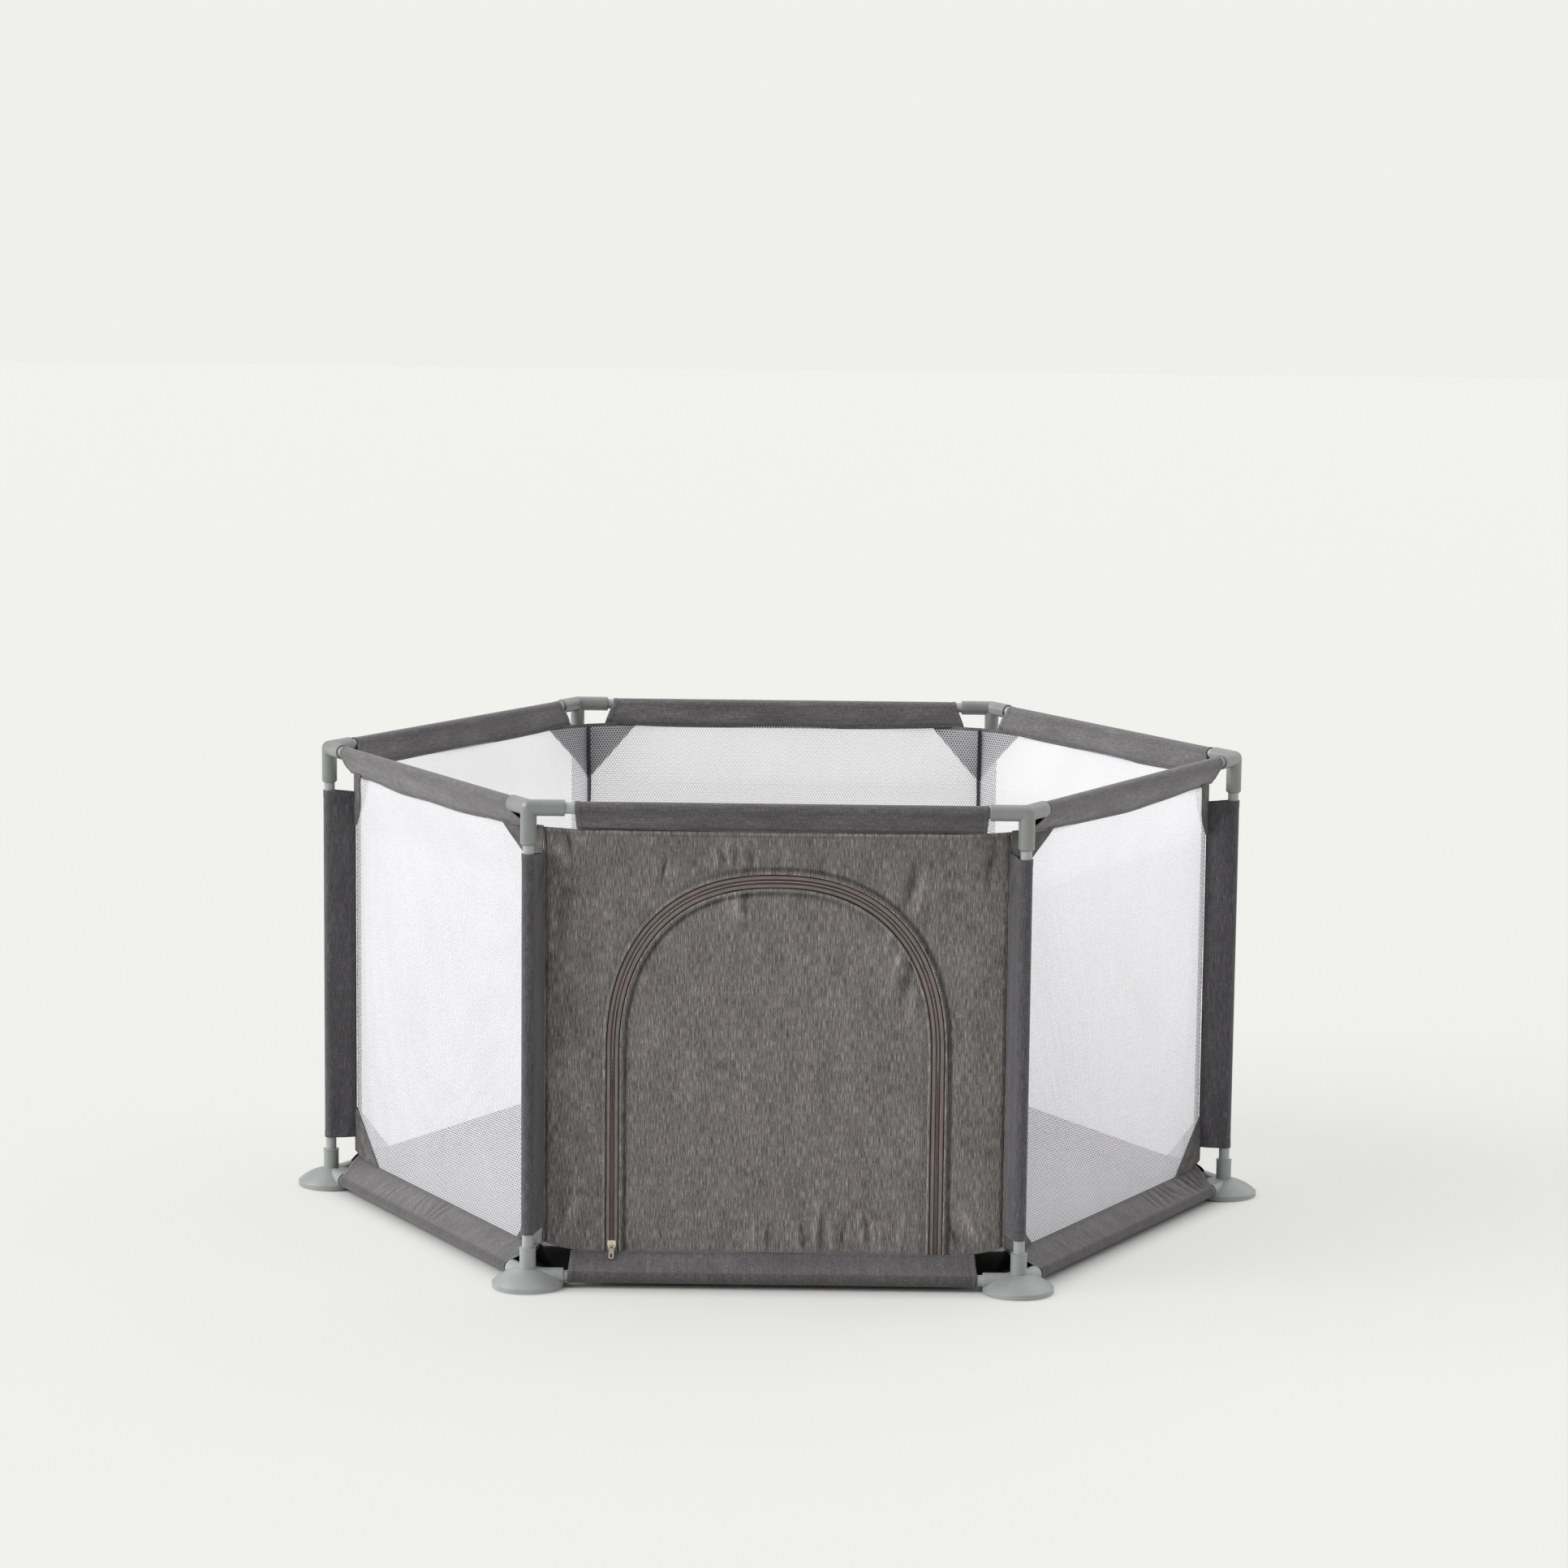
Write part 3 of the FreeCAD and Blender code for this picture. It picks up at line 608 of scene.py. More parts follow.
# -------- corner patches and bindings
def corner_patch(number, sign, high):
    """A cloth triangle sewn over one corner of a mesh wall, on its outer face. The line that its
    slanting side is stitched along is returned."""
    width, height = HIGH_PATCH if high else LOW_PATCH
    if high:
        edge_z, reach_z = WALL_TOP_Z + 0.002, WALL_TOP_Z - height
    else:
        edge_z, reach_z = WALL_LOW_Z - 0.002, WALL_LOW_Z + height
    flat, rim = [], []
    for row in range(PATCH_STEPS + 1):
        side_x = sign * (SEAM_HALF + PATCH_LAP - width * row / PATCH_STEPS)
        for column in range(PATCH_STEPS + 1 - row):
            flat.append((side_x, edge_z + (reach_z - edge_z) * column / PATCH_STEPS))
            rim.append(1 - (row + column) / PATCH_STEPS)
    flat, rim = np.array(flat), np.array(rim)
    starts = np.cumsum([0] + [PATCH_STEPS + 1 - row for row in range(PATCH_STEPS + 1)])
    faces = []
    for row in range(PATCH_STEPS):
        for column in range(PATCH_STEPS - row):
            here = starts[row] + column
            over = starts[row + 1] + column
            faces.append((here, here + 1, over))
            if column < PATCH_STEPS - row - 1:
                faces.append((here + 1, over + 1, over))
    x, z = flat[:, 0], lifted(flat[:, 0], flat[:, 1])
    hem = 0.0006 * smooth(rim * 12) - 0.0004 * ridge(rim - 0.09, 0.02)
    ripple = 0.0009 * rumple(x * 90, z * 60, 60 + number) * smooth(rim * 4)
    y = wall_y(x, z, MESH_BEND_Z) - PATCH_OFF - hem - abs(ripple)
    local = np.stack([x, y, z], 1)
    faces = facing(local, np.array(faces), OUT_OF_WALL_1)
    place = turned(STEP_ANGLE * number)
    name = "corner_patch_%d_%s_%s" % (number, "high" if high else "low", "left" if sign < 0 else "right")
    piece = make_cloth(name, local @ place, faces, flat, PATCH, "patch_fabric",
                       "stretched", thickness=0.0008, rests_on=["mesh_wall_%d" % number])
    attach(piece, "frame")
    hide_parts("corner_patches")
    seam = np.linspace(0.04, 0.96, 60)[:, None]
    low_end = np.array([sign * (SEAM_HALF - 0.0055), reach_z - math.copysign(0.005, reach_z - edge_z)])
    high_end = np.array([sign * (SEAM_HALF - width + 0.005), edge_z])
    line = low_end * (1 - seam) + high_end * seam
    seam_z = lifted(line[:, 0], line[:, 1])
    seam_y = wall_y(line[:, 0], seam_z, MESH_BEND_Z) - 0.0026
    return np.stack([line[:, 0], seam_y, seam_z], 1) @ place


def corner_binding(index):
    """Tape folded over the corner seam's edges, which stand a little way into the pen."""
    crown, flank = 0.0013, 0.0048
    arc = np.linspace(-math.pi / 2, math.pi / 2, 9)
    side = np.linspace(1, 0, 6)[:-1] * flank
    inward = np.concatenate([-side, crown * np.cos(arc), -side[::-1]])
    across = np.concatenate([-crown - 0.25 * side, crown * np.sin(arc), crown + 0.25 * side[::-1]])
    girth = along_line(np.stack([inward, across], 1))
    height = np.linspace(WALL_LOW_Z + LOW_CORNER_RISE, WALL_TOP_Z - 0.001, 240)[:, None]
    swing = 0.0008 * rumple(height * 30, height * 0 + 5, 90 + index)
    x = SEAM_REACH - flank - 0.0012 - inward + 0.0002 * rumple(height * 300, girth * 300, 95 + index)
    y = across * (1 + 0.15 * rumple(height * 80, girth * 100, 96 + index)) + swing
    piece = cloth_grid("corner_binding_%d" % (index + 1), grid_of(x, y, height), grid_of(girth, height),
                       (0.1, -1, 0), BINDING, "binding_tape", "folded",
                       place=turned(FIRST_CORNER_ANGLE + STEP_ANGLE * index), thickness=0.0005)
    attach(piece, "frame")
    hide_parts("corner_bindings")


# -------- sleeves
def drop_outline(reach):
    """Cloth round a tube and sewn at a seam `reach` away along +X: points, normals, and how far
    each point is from the tube (0) towards the seam (1)."""
    angle = math.acos((SLEEVE_RADIUS - SLEEVE_EDGE) / reach)
    normal = np.array([math.cos(angle), math.sin(angle)])
    share = np.linspace(1, 0, SLEEVE_FLAT_STEPS)[:-1, None]
    start = normal * SLEEVE_RADIUS
    end = np.array([reach, 0]) + normal * SLEEVE_EDGE
    upper = start * (1 - share) + end * share
    turns = np.linspace(angle, 2 * math.pi - angle, SLEEVE_ROUND_STEPS)
    spokes = np.stack([np.cos(turns), np.sin(turns)], 1)
    mirror = np.array([1, -1])
    points = np.concatenate([upper, spokes * SLEEVE_RADIUS, upper[::-1] * mirror])
    flat_normals = np.tile(normal, (len(upper), 1))
    normals = np.concatenate([flat_normals, spokes, flat_normals * mirror])
    seamward = np.concatenate([share[:, 0], np.zeros(SLEEVE_ROUND_STEPS), share[::-1, 0]])
    return points, normals, seamward


def sleeve(name, node, ends, seam_ends, axis_at, along, seam_at, folds, grain_along, place,
           end_hem=0.008, material=HEATHER, painted_underside=0.0):
    """A sleeve of cloth round a tube. ends and seam_ends are where it stops along the tube and
    along its seam; axis_at is the tube's point at 0; seam_at(share) is the seam, from the axis;
    folds(distance, seamward, side) is how far the cloth stands off. The last argument paints shade
    on the side away from the seam; the stitched hollows and the cloth by the seam are painted darker too."""
    along = np.array(along, float)
    points, cloth, relief = [], [], []
    for share in np.linspace(0, 1, SLEEVE_ROWS):
        seam = np.array(seam_at(share), float)
        reach = np.linalg.norm(seam)
        towards = seam / reach
        side = np.cross(along, towards)
        profile, normals, seamward = drop_outline(reach)
        girth = along_line(profile)
        tube_x = ends[0] + (ends[1] - ends[0]) * share
        seam_x = seam_ends[0] + (seam_ends[1] - seam_ends[0]) * share
        distance = tube_x + (seam_x - tube_x) * seamward ** 0.8
        from_end = np.minimum(share, 1 - share) * abs(ends[1] - ends[0])
        near_seam = (1 - seamward) * reach
        on_flat = seamward > 0
        groove = ridge(near_seam - 0.0048, 0.0014) * on_flat + 0.5 * ridge(from_end - end_hem, 0.0012)
        stand = folds(distance, seamward, np.sign(profile[:, 1])) - 0.0009 * groove
        stand = stand + 0.0004 * smooth((end_hem - from_end) / 0.0015)
        # painted shade: stitched hollows, the cloth by the seam and the side away from it are painted
        # darker
        darker = 0.0016 * groove + 0.0010 * ridge(near_seam - 0.0010, 0.0020) * on_flat
        darker = darker + painted_underside * smooth(0.5 - profile[:, 0] / 0.005)
        relief.append(stand - darker)
        drop, breadth = (profile + normals * stand[:, None]).T[..., None]
        points.append(axis_at + along * distance[:, None] + towards * drop + side * breadth)
        cloth.append(np.stack([girth, distance] if grain_along else [distance, girth], 1))
    grid = np.stack(points)
    outward = towards * normals[0, 0] + side * normals[0, 1]
    piece = cloth_grid(name, grid, np.stack(cloth), outward, material, "heather_fabric", "stretched",
                       place=place, thickness=0.0008, inner=LINING, rests_on=[node])
    mark_painted_shade(piece, np.stack(relief))
    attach(piece, "frame")
    return piece, grid @ place


def fine_folds(seed, depth, along_rate, across_rate):
    """Small wrinkles across a sleeve, deepest halfway between the tube and the seam."""
    def folds(distance, seamward, face):
        crease = rumple(distance * along_rate + seed, seamward * across_rate + face * 3, seed)
        broad = rumple(distance * along_rate * 0.3, seamward * 1.5 + face * 5, seed + 1)
        slack = np.sin(np.clip(seamward, 0, 1) * math.pi)
        return depth * (crease ** 2 - 0.2 + 1.3 * broad) * slack
    return folds


def top_sleeve(index):
    """The sleeve over a top rail. The door's is cut nearly square. The others slant out towards
    their seam, most of all beside the door."""
    half = SIDE / 2
    seam_drop = TOP_Z - WALL_TOP_Z
    if index == 0:
        ends, seam_ends = (-half + 0.064, half - 0.052), (-half + 0.066, half - 0.054)
        sag, wave = 0.0, 0.0
    else:
        low_end = (0.054, 0.006) if index == 1 else (0.060, 0.026)
        high_end = (0.053, 0.006) if index == SIDES - 1 else (0.060, 0.026)
        ends = (-half + low_end[0], half - high_end[0])
        seam_ends = (-SEAM_HALF + low_end[1], SEAM_HALF - high_end[1])
        sag, wave = 0.006, 0.0016

    def seam_at(share):
        middle_share = math.sin(share * math.pi) ** 0.7
        ripple = wave * rumple(share * 6, index * 2, 110)
        return (0, TOP_INSET + 0.010 * (1 - middle_share), -seam_drop - sag * middle_share - ripple)

    belly = fine_folds(120 + 3 * index, 0.0009, 34, 2.5)

    def folds(distance, seamward, face):
        swell = 0.0014 * np.sin(np.clip(seamward, 0, 1) * math.pi)
        return belly(distance, seamward, face) + swell

    # the door's top sleeve takes a darker copy of the heather, as painted shade
    return sleeve("top_sleeve_cloth_%d" % (index + 1), "top_rail_%d" % (index + 1), ends, seam_ends,
                  (0, -APOTHEM, TOP_Z), (1, 0, 0), seam_at, folds, True, turned(STEP_ANGLE * index),
                  material=HEATHER if index else HEATHER_FRONT_PAINTED_SHADE)


def bottom_sleeve(index):
    """The sleeve round a bottom rail, puckered along a part of it, with painted shade on the side away from
    its seam.
    """
    half = SIDE / 2
    rise = WALL_LOW_Z - 0.0005 - LOW_Z
    if index == 0:
        ends, seam_ends = (-half + 0.056, half - 0.058), (-half + 0.058, half - 0.060)
    else:
        ends, seam_ends = (-half + 0.055, half - 0.055), (-SEAM_HALF + 0.010, SEAM_HALF - 0.010)

    def seam_at(share):
        corner = max(0.0, abs(share - 0.5) * 2 - 0.82) / 0.18
        return (0, WALL_INSET, rise + (0.006 if index else 0.0) * corner ** 2)

    fine = fine_folds(150 + 3 * index, 0.0008, 40, 2.0)
    puckered = (0.62, 0.95) if index == 1 else (0.25, 0.62)
    depth = {0: 0.0, 1: 0.0022}.get(index, 0.0010)

    def folds(distance, seamward, face):
        share = distance / SIDE + 0.5
        zone = smooth((share - puckered[0]) / 0.08) * smooth((puckered[1] - share) / 0.08)
        wander = 0.6 * rumple(share * 22, seamward * 1.2, 180 + index)
        rows = np.sin((share * 34 + wander) * 2 * math.pi)
        rows = rows * (0.6 + 0.4 * rumple(share * 30, seamward * 0.5, 181))
        return fine(distance, seamward, face) + depth * zone * rows * np.sin(seamward * math.pi) ** 0.8

    return sleeve("bottom_sleeve_cloth_%d" % (index + 1), "bottom_rail_%d" % (index + 1), ends, seam_ends,
                  (0, -APOTHEM, LOW_Z), (1, 0, 0), seam_at, folds, False, turned(STEP_ANGLE * index),
                  painted_underside=0.0020)


def pole_sleeve(index):
    """The flat fin of cloth from a pole to its corner seam, pulled into creases at its ends."""
    low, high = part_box("pole_sleeves")
    rises = {0: (0.004, -0.004), 1: (0.000, 0.003)}.get(index, (0.0, -0.002))

    def seam_at(share):
        return (-(SIDE - SEAM_REACH) + 0.0006, 0, 0)

    fine = fine_folds(200 + 3 * index, 0.0007, 16, 2.5)

    def folds(distance, seamward, face):
        ends = np.minimum(distance - low.z, high.z - distance)
        slant = rumple((distance + seamward * 0.05 * face) * 55, seamward * 1.2, 230 + index)
        pull = 0.0013 * slant * smooth(1 - ends / 0.11) * np.sin(seamward * math.pi)
        return fine(distance, seamward, face) + pull

    return sleeve("pole_sleeve_cloth_%d" % (index + 1), "upright_pole_%d" % (index + 1),
                  (low.z, high.z), (low.z + rises[0], high.z + rises[1]), (SIDE, 0, 0), (0, 0, 1),
                  seam_at, folds, True, turned(FIRST_CORNER_ANGLE + STEP_ANGLE * index), end_hem=0.012,
                  material=HEATHER_POLE)


# -------- door
def arch_columns():
    """The door outline's columns: heights up each leg, and directions round the arch."""
    legs = np.linspace(WALL_LOW_Z, ARCH_SPRING_Z, 250)[:-1]
    fine = np.linspace(0, math.pi / 2, 2000)
    x, z = arch_curve(fine, 0)
    run = along_line(np.stack([x, z], 1))
    quarter = np.interp(np.linspace(0, run[-1], 470), run, fine)
    corner = math.atan2(WALL_TOP_Z - ARCH_SPRING_Z, SEAM_HALF + SURROUND_LAP)
    quarter[np.argmin(abs(quarter - corner))] = corner
    return legs, np.concatenate([quarter, math.pi - quarter[-2::-1]])


def arch_curve(direction, offset):
    """Points on the superellipse over the door, grown by offset, seen from its spring centre."""
    across = abs(np.cos(direction)) / (ARCH_HALF_WIDTH + offset)
    up = abs(np.sin(direction)) / (ARCH_RISE + offset)
    radius = (across ** ARCH_POWER + up ** ARCH_POWER) ** (-1 / ARCH_POWER)
    return radius * np.cos(direction), ARCH_SPRING_Z + radius * np.sin(direction)


LEGS, DIRECTIONS = arch_columns()


def outline(offset):
    """The door's outline from the foot of the right leg, over the top, to the foot of the left."""
    x, z = arch_curve(DIRECTIONS, offset)
    half = ARCH_HALF_WIDTH + offset
    right = np.stack([np.full(len(LEGS), half), LEGS], 1)
    left = np.stack([np.full(len(LEGS), -half), LEGS[::-1]], 1)
    return np.concatenate([right, np.stack([x, z], 1), left])


ZIP_LINE = outline(0)
ZIP_RUN = along_line(ZIP_LINE)


def outer_edge():
    """The wall's own edge, met by each column of the outline."""
    half = SEAM_HALF + SURROUND_LAP
    right = np.stack([np.full(len(LEGS), half), LEGS], 1)
    sine, cosine = np.sin(DIRECTIONS), np.cos(DIRECTIONS)
    to_side = half / np.maximum(abs(cosine), 1e-9)
    to_top = (WALL_TOP_Z - ARCH_SPRING_Z) / np.maximum(sine, 1e-9)
    radius = np.minimum(to_side, to_top)
    arch = np.stack([radius * cosine, ARCH_SPRING_Z + radius * sine], 1)
    left = right[::-1] * [-1, 1]
    return np.concatenate([right, arch, left])


def spine():
    """Where the flap's columns meet, on its own middle line."""
    rise = 0.55 * ARCH_RISE
    right = np.stack([np.zeros(len(LEGS)), LEGS], 1)
    arch = np.stack([np.zeros(len(DIRECTIONS)), ARCH_SPRING_Z + rise * np.sin(DIRECTIONS)], 1)
    return np.concatenate([right, arch, right[::-1]])


CREASE_HEIGHT = 2.3                             # times the height of every crease below
CREASE_WIDTH = 1.5                              # times its half width
# creases in the door's cloth: from (x, z), to (x, z), half width and height, in millimetres
CREASES = [
    (-154, 614, -158, 572, 1.6, -1.5), (-150, 612, -153, 574, 2.6, 0.9), (-136, 592, -139, 578, 3.0, 0.8),
    (-118, 590, -116, 580, 3.0, 0.8), (-86, 622, -83, 586, 2.4, 1.2), (-79, 620, -77, 588, 2.2, -1.0),
    (-68, 630, -66, 586, 2.6, 1.2), (-60, 622, -58, 590, 2.0, -0.9), (-49, 626, -51, 586, 2.8, 1.1),
    (-36, 618, -38, 590, 2.4, -0.8), (-27, 622, -26, 588, 2.6, 0.9), (-8, 612, -9, 588, 2.4, 0.7),
    (14, 620, 12, 588, 2.8, 0.8), (40, 614, 36, 586, 2.6, 0.7), (66, 616, 60, 582, 2.8, -0.8),
    (-70, 560, -66, 524, 2.4, 1.2), (-58, 560, -53, 516, 3.4, 1.4), (-46, 556, -42, 520, 2.2, -1.1),
    (-30, 560, -29, 534, 2.4, 0.6), (2, 560, 0, 536, 2.4, 0.5), (30, 560, 32, 540, 2.6, -0.6),
    (196, 604, 176, 536, 3.4, -1.2), (208, 590, 190, 520, 3.0, 1.0), (214, 548, 204, 500, 3.0, -0.9),
    (170, 520, 150, 482, 4.0, 1.3), (182, 492, 160, 436, 4.2, 1.5), (190, 462, 172, 404, 3.6, -1.2),
    (196, 430, 184, 372, 3.6, 1.0), (-24, 100, -33, 44, 1.6, 1.6),
    (-14, 84, -16, 44, 1.4, 1.6), (-8, 88, -10, 44, 1.4, -1.2), (30, 88, 37, 44, 1.5, 1.8),
    (38, 88, 44, 44, 1.4, -1.3), (62, 116, 57, 44, 2.0, 1.8), (70, 108, 66, 44, 1.6, -1.6),
    (78, 94, 81, 44, 1.5, 1.8), (98, 98, 95, 44, 1.8, -1.5), (120, 106, 126, 44, 1.5, 1.8),
    (128, 98, 132, 44, 1.3, -1.6), (135, 100, 138, 44, 1.4, 2.0), (149, 90, 147, 44, 1.5, 1.8),
    (180, 104, 177, 44, 1.4, 1.6),
    (-292, 640, -284, 604, 2.0, -1.6), (-302, 640, -292, 598, 7.0, 1.0), (-272, 642, -264, 618, 5.0, 0.7),
    (-300, 628, -296, 560, 4.0, 1.2), (300, 632, 292, 560, 4.0, -1.2),
    (-276, 120, -300, 60, 4.0, 1.2), (262, 108, 292, 58, 4.0, 1.4), (246, 92, 260, 50, 3.0, -1.2),
]


def door_relief(x, z):
    """How far the door's cloth stands out: broad slackness, fine puckers and the creases."""
    relief = 0.0020 * rumple(x * 9 + 5, z * 5 + 2, 300) + 0.0008 * rumple(x * 34, z * 12, 301)
    return relief + 0.00025 * rumple(x * 120, z * 36, 302) + creases(x, z)


def creases(x, z):
    """How far the creases alone make the cloth stand out."""
    relief = 0.0 * x
    for x0, z0, x1, z1, width, height in CREASES:
        start = np.array([x0, z0]) / 1000
        run = np.array([x1 - x0, z1 - z0]) / 1000
        share = ((x - start[0]) * run[0] + (z - start[1]) * run[1]) / (run @ run)
        held = np.clip(share, 0, 1)
        off_x = x - start[0] - run[0] * held
        off_z = z - start[1] - run[1] * held
        bend = 0.0012 * np.sin(held * 5 + x0)
        distance = np.hypot(off_x + bend, off_z)
        fade = np.sin(np.clip(share, 0.02, 0.98) * math.pi) ** 0.6
        bump = ridge(distance, CREASE_WIDTH * width / 1000)
        relief = relief + CREASE_HEIGHT * height / 1000 * bump * fade
    return relief


def hem_relief(from_edge, run, sunken, seed):
    """A folded and stitched edge: a roll, a stitched groove, puckers between the stitches, and a
    dip behind them where the cloth is sunken."""
    roll = 0.0018 * ridge(from_edge - 0.0020, 0.0018)
    drop = -0.0014 * ridge(from_edge, 0.0006)
    groove = -0.0008 * ridge(from_edge - 0.0044, 0.0010)
    dip = -0.0032 * sunken * ridge(from_edge - 0.0082, 0.0032)
    crown = ridge(run - ZIP_RUN[-1] / 2, 0.20)
    strength = (0.35 + 0.65 * crown) * (0.7 + 0.5 * rumple(run * 22, run * 0 + 1, seed))
    pucker = np.sin(run / STITCH_PITCH * 2 * math.pi + 1.2 * rumple(run * 60, run * 0 + 4, seed))
    return roll + drop + groove + dip + 0.00085 * strength * pucker * ridge(from_edge - 0.0036, 0.0034)


BAND = np.array([0, 0.3, 0.7, 1.1, 1.6, 2.1, 2.7, 3.3, 3.9, 4.5, 5.2, 6.2, 7.4, 8.8, 10.5, 12.5]) / 1000


def door_sheet(edge_offset, sign, far, rows, seed):
    """Rows of points from the zip's edge, first square to it and then on to the far line."""
    band = [outline(edge_offset + sign * distance) for distance in BAND]
    start = band[-1]
    rest = [start + (far - start) * share for share in np.linspace(0, 1, rows)[1:]]
    flat = np.stack(band + rest)
    distance = np.linalg.norm(flat - flat[0], axis=2)
    run = np.broadcast_to(ZIP_RUN, distance.shape)
    sunken = 0.2 + 0.8 * smooth(0.72 + sign * flat[..., 0] / 0.30)
    return flat, hem_relief(distance, run, sunken, seed)


def at_door(flat, relief):
    """Points of wall 1 from flat coordinates, with the cloth's outer face at the CAD's."""
    x, z = flat[..., 0], flat[..., 1]
    z = lifted(x, z)
    edge_fade = smooth((SEAM_HALF - abs(x)) / 0.004 + 0.3)
    y = wall_y(x, z, DOOR_BEND_Z) - (INNER_Y - FACE_Y) - (relief + door_relief(x, z)) * edge_fade
    return np.stack([x, y, z], -1)



def door_cloth(name, flat, relief, held, rests_on):
    """A part of the door's cloth, with painted light and shade: paler where its hems and creases stand out,
    darker where they sink.
    """
    piece = cloth_grid(name, at_door(flat, relief), flat, OUT_OF_WALL_1, HEATHER_DOOR, "heather_fabric",
                       held, thickness=0.0010, inner=LINING, rests_on=rests_on)
    mark_painted_shade(piece, relief + creases(flat[..., 0], flat[..., 1]))
    return piece


def door_surround():
    """The cloth round the arch, with hems along its top and its corner seams."""
    flat, relief = door_sheet(TAPE_SHOWN, 1, outer_edge(), 40, 310)
    from_top = WALL_TOP_Z - flat[..., 1]
    from_seam = SEAM_HALF - abs(flat[..., 0])
    bare_strip = flat[..., 0] < -SIDE / 2 + 0.066
    relief = relief + 0.0018 * ridge(from_top - 0.0030, 0.0014) - 0.0009 * ridge(from_top - 0.0065, 0.0018)
    relief = relief + 0.0012 * bare_strip * rumple(flat[..., 0] * 90, flat[..., 1] * 20, 311)
    relief = relief - 0.0024 * ridge(from_seam - 0.0030, 0.0016)
    piece = door_cloth("door_surround_cloth", flat, relief, "stretched",
                       ["top_sleeve_1", "bottom_sleeve_1"])
    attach(piece, "frame")
    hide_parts("door_surround")


def door_flap():
    """The flap and the sill below it, which are one cloth."""
    flat, relief = door_sheet(-TAPE_SHOWN, -1, spine(), 44, 320)
    piece = door_cloth("door_flap_cloth", flat, relief, "hung", ["bottom_sleeve_1"])
    join_ends(piece, "spine")
    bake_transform(piece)
    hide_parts("door_flap", "door_sill")


def zip_tape(name, sign, body):
    """One half of the zip: woven tape with a raised cord along the middle, which covers the coil."""
    across = np.array([0.15, 0.35, 0.7, 1.1, 1.5, 1.9, 2.2, 2.5, 2.8, 3.2, 4.0, 4.8, 5.6, 6.2, 6.5, 6.9,
                       7.4, 8.0, 8.6, 9.2, 9.8, 11, 12.5, 14.5]) / 1000
    flat = np.stack([outline(sign * distance) for distance in across])
    distance = across[:, None]
    run = ZIP_RUN[None]
    height = 0.0009 * ridge(distance - 0.0012, 0.0008) - 0.0005 * ridge(distance - 0.0026, 0.0004)
    height = height + 0.0006 * smooth((distance - 0.0026) / 0.002) * smooth((0.0092 - distance) / 0.002)
    height = height - 0.0004 * ridge(distance - 0.0065, 0.0004)
    height = height + 0.00025 * rumple(run * 45, distance * 400, 330)
    height = height - 0.0012 * smooth((distance - 0.0090) / 0.0006)
    x, z = flat[..., 0], flat[..., 1]
    y = wall_y(x, z, DOOR_BEND_Z) - 0.0004 - height
    piece = cloth_grid(name, grid_of(x, y, z), grid_of(distance, run), OUT_OF_WALL_1, TAPE, "zip_tape",
                       "stretched", thickness=0.0005)
    if body == "frame":
        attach(piece, "frame")
        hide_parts("zip_tape_outer")
    else:
        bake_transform(piece)
        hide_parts("zip_tape_inner")


def door_stitches():
    """Rows of topstitching along both sides of the zip."""
    inset = TAPE_SHOWN + STITCH_INSET
    for name, offset, body, low_z in (("surround_stitches", inset, "frame", WALL_LOW_Z),
                                      ("flap_stitches", -inset, "door_flap", HINGE[2] + 0.014)):
        flat = outline(offset)
        flat = flat[flat[:, 1] > low_z]
        line = at_door(flat, np.full(len(flat), -0.00045))
        topstitch(name, [line], DOOR_STITCH_RADIUS, PALE_THREAD, body)


# -------- floor cloth
def floor_cloth():
    """The floor of the pen: flat on the ground, with a rim that climbs to the bottom seams."""
    edge = APOTHEM - WALL_INSET - 0.0015
    inset = np.concatenate([np.linspace(0, 0.055, 30), np.linspace(0.055, edge, 34)[1:]])
    bearing = np.linspace(0, 2 * math.pi, 721)[None]
    spread = 1 / np.cos(bearing % (math.pi / 3) - math.pi / 6)
    inset = inset[:, None]
    radius = (edge - inset) * spread
    x, y = radius * np.cos(bearing), radius * np.sin(bearing)
    climb = np.clip(1 - inset / 0.042, 0, 1) ** 1.7
    corner = smooth((spread - 1.04) / 0.11)
    height = 0.0016 + (WALL_LOW_Z - 0.0035 + 0.008 * corner) * climb
    ruck = abs(rumple(x * 11, y * 11, 340)) * 0.0022 + abs(rumple(x * 38, y * 38, 341)) * 0.0008
    radial = rumple(bearing * 60 + 0 * radius, radius * 4, 342) * 0.0015 * ridge(inset - 0.03, 0.02)
    height = np.maximum(height + ruck * smooth(inset / 0.02) + radial, 0.0014)
    piece = cloth_grid("floor_cloth", grid_of(x, y, height), grid_of(x, y), (0, 0, 1), FLOOR_TOP,
                       "floor_fabric", "laid", thickness=0.0010, inner=FLOOR_COATING_AND_SHADE,
                       rests_on=["bottom_sleeve_1"])
    join_ends(piece, "closing")
    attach(piece, "frame")
    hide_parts("floor_sheet")


# -------- make the pieces
NET_FLAT, NET_FACES = net_lattice()
sleeve_lines, patch_lines = [], []
for wall in range(SIDES):
    for make, stands_for in ((top_sleeve, "top_sleeve_%d" % (wall + 1)),
                             (bottom_sleeve, "bottom_sleeve_%d" % (wall + 1)),
                             (pole_sleeve, "pole_sleeves")):
        piece, grid = make(wall)
        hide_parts(stands_for)
        sleeve_lines += [grid[:, 2], grid[:, -3], grid[3, 1:-1], grid[-4, 1:-1]]
    corner_binding(wall)
    if wall:
        mesh_wall(wall, NET_FLAT, NET_FACES)
        patch_lines += [corner_patch(wall, sign, high) for sign in (-1, 1) for high in (False, True)]

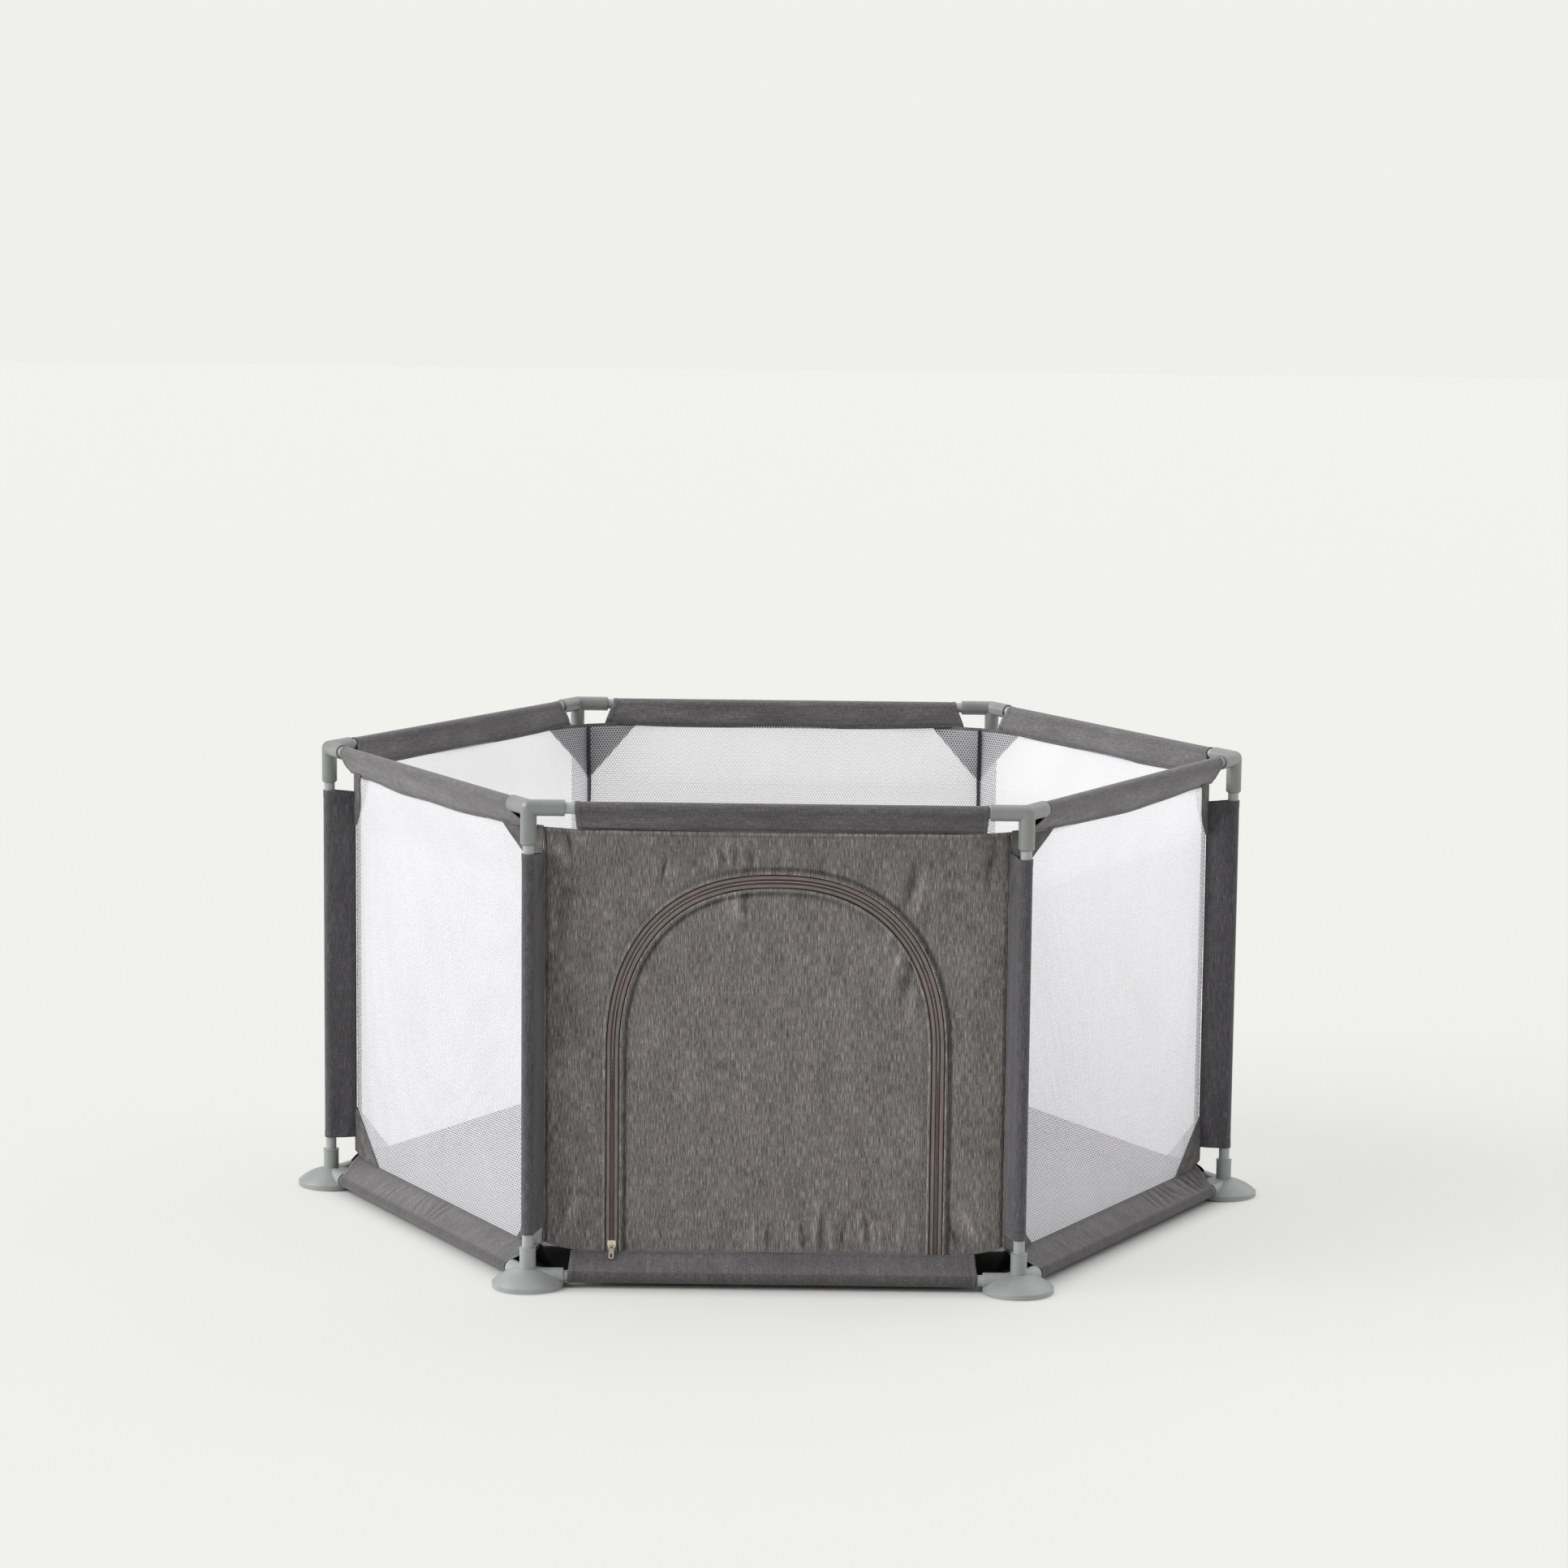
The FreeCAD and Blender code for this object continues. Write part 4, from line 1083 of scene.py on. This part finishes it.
topstitch("sleeve_stitches", sleeve_lines, STITCH_RADIUS, DARK_THREAD, "frame")
topstitch("patch_stitches", patch_lines, STITCH_RADIUS, DARK_THREAD, "frame")
door_surround()
door_flap()
zip_tape("zip_tape_surround", 1, "frame")
zip_tape("zip_tape_flap", -1, "door_flap")
door_stitches()
floor_cloth()


# -------- stage, lights and camera
GROUND_HALF = 30
# distances from the pen's middle, square to its sides, between which the floor starts to glow
GLOW_BAND = 0.596, 0.650


def ground():
    """A pale floor that glows a little round the pen, beyond a narrow band, as painted light that fills in
    the pen's shadow, so shadows stay faint.
    """
    mesh = bpy.data.meshes.new("ground")
    square = [(-1, -1), (1, -1), (1, 1), (-1, 1)]
    mesh.from_pydata([(GROUND_HALF * x, GROUND_HALF * y, 0) for x, y in square], [], [(0, 1, 2, 3)])
    piece = bpy.data.objects.new("ground", mesh)
    bpy.context.scene.collection.objects.link(piece)
    finish = Finish("pale_floor", Roughness=0.9, Specular_IOR_Level=0.1,
                    Emission_Color=(0.470, 0.470, 0.455, 1))
    place = finish.add("TexCoord").outputs["Object"]
    reach = 0.0
    for angle in np.radians((-90, -30, 30)):
        across = finish.dot(place, (math.cos(angle), math.sin(angle), 0))
        reach = finish.maths("MAXIMUM", reach, finish.maths("ABSOLUTE", across))
    glow = finish.ranged(reach, *GLOW_BAND)
    finish.feed("Base Color", finish.ramp(glow, [(0.0, "cfcfcc"), (1.0, "91918e")]))
    finish.feed("Emission Strength", glow)
    mesh.materials.append(finish.material)


# a soft light in the sky: its direction, how narrow it starts and ends (as cosines), its brightness
SOFT_LIGHTS = [
    ((-0.87, -0.17, 0.46), 0.74, 0.95, 4.6),
    ((0.86, 0.05, 0.50), 0.50, 0.90, 0.9),
    ((0.10, 0.50, 0.86), 0.60, 0.95, 0.9),
]
DOME_BRIGHTNESS = 0.26
HORIZON_BAND = 0.06, 0.18                       # heights between which the pale horizon fades out


def sky():
    """A plain studio: even round the horizon, with broad soft lights above it, strongest on the left."""
    world = bpy.data.worlds.new("studio")
    bpy.context.scene.world = world
    world.use_nodes = True
    nodes = Nodes(world.node_tree)
    direction = nodes.add("TexCoord").outputs["Generated"]
    total = DOME_BRIGHTNESS
    for place, wide, narrow, brightness in SOFT_LIGHTS:
        light = nodes.ranged(nodes.dot(direction, place), wide, narrow, brightness)
        total = nodes.maths("ADD", light, total)
    height = nodes.add("SeparateXYZ", Vector=direction).outputs["Z"]
    colour = nodes.mix(nodes.ranged(height, *HORIZON_BAND), tint("eff0ec"), total)
    nodes.plug(colour, nodes.tree.nodes["Background"].inputs["Color"])


CAMERA_PLACE = (0.046, -6.294, 1.517)
CAMERA_YAW = -0.38                              # degrees
CAMERA_PITCH = 8.03
CAMERA_ROLL = 0.61
CAMERA_LENS = 96.3                              # millimetres
SENSOR_WIDTH = 36


def camera():
    """A long lens a little above the rails, almost square to the door."""
    yaw, pitch, roll = np.radians((CAMERA_YAW, CAMERA_PITCH, CAMERA_ROLL))
    forward = np.array([math.sin(yaw) * math.cos(pitch), math.cos(yaw) * math.cos(pitch), -math.sin(pitch)])
    level = np.array([math.cos(yaw), -math.sin(yaw), 0])
    up = np.cross(level, forward)
    right = level * math.cos(roll) + up * math.sin(roll)
    up = up * math.cos(roll) - level * math.sin(roll)
    lens = bpy.data.cameras.new("camera")
    lens.lens = CAMERA_LENS
    lens.sensor_width = SENSOR_WIDTH
    lens.clip_end = 200
    shot = bpy.data.objects.new("camera", lens)
    basis = np.eye(4)
    basis[:3, 0], basis[:3, 1], basis[:3, 2] = right, up, -forward
    basis[:3, 3] = CAMERA_PLACE
    shot.matrix_world = Matrix(basis)
    bpy.context.scene.collection.objects.link(shot)
    bpy.context.scene.camera = shot


ground()
sky()
camera()
bpy.context.scene.view_settings.view_transform = "Standard"
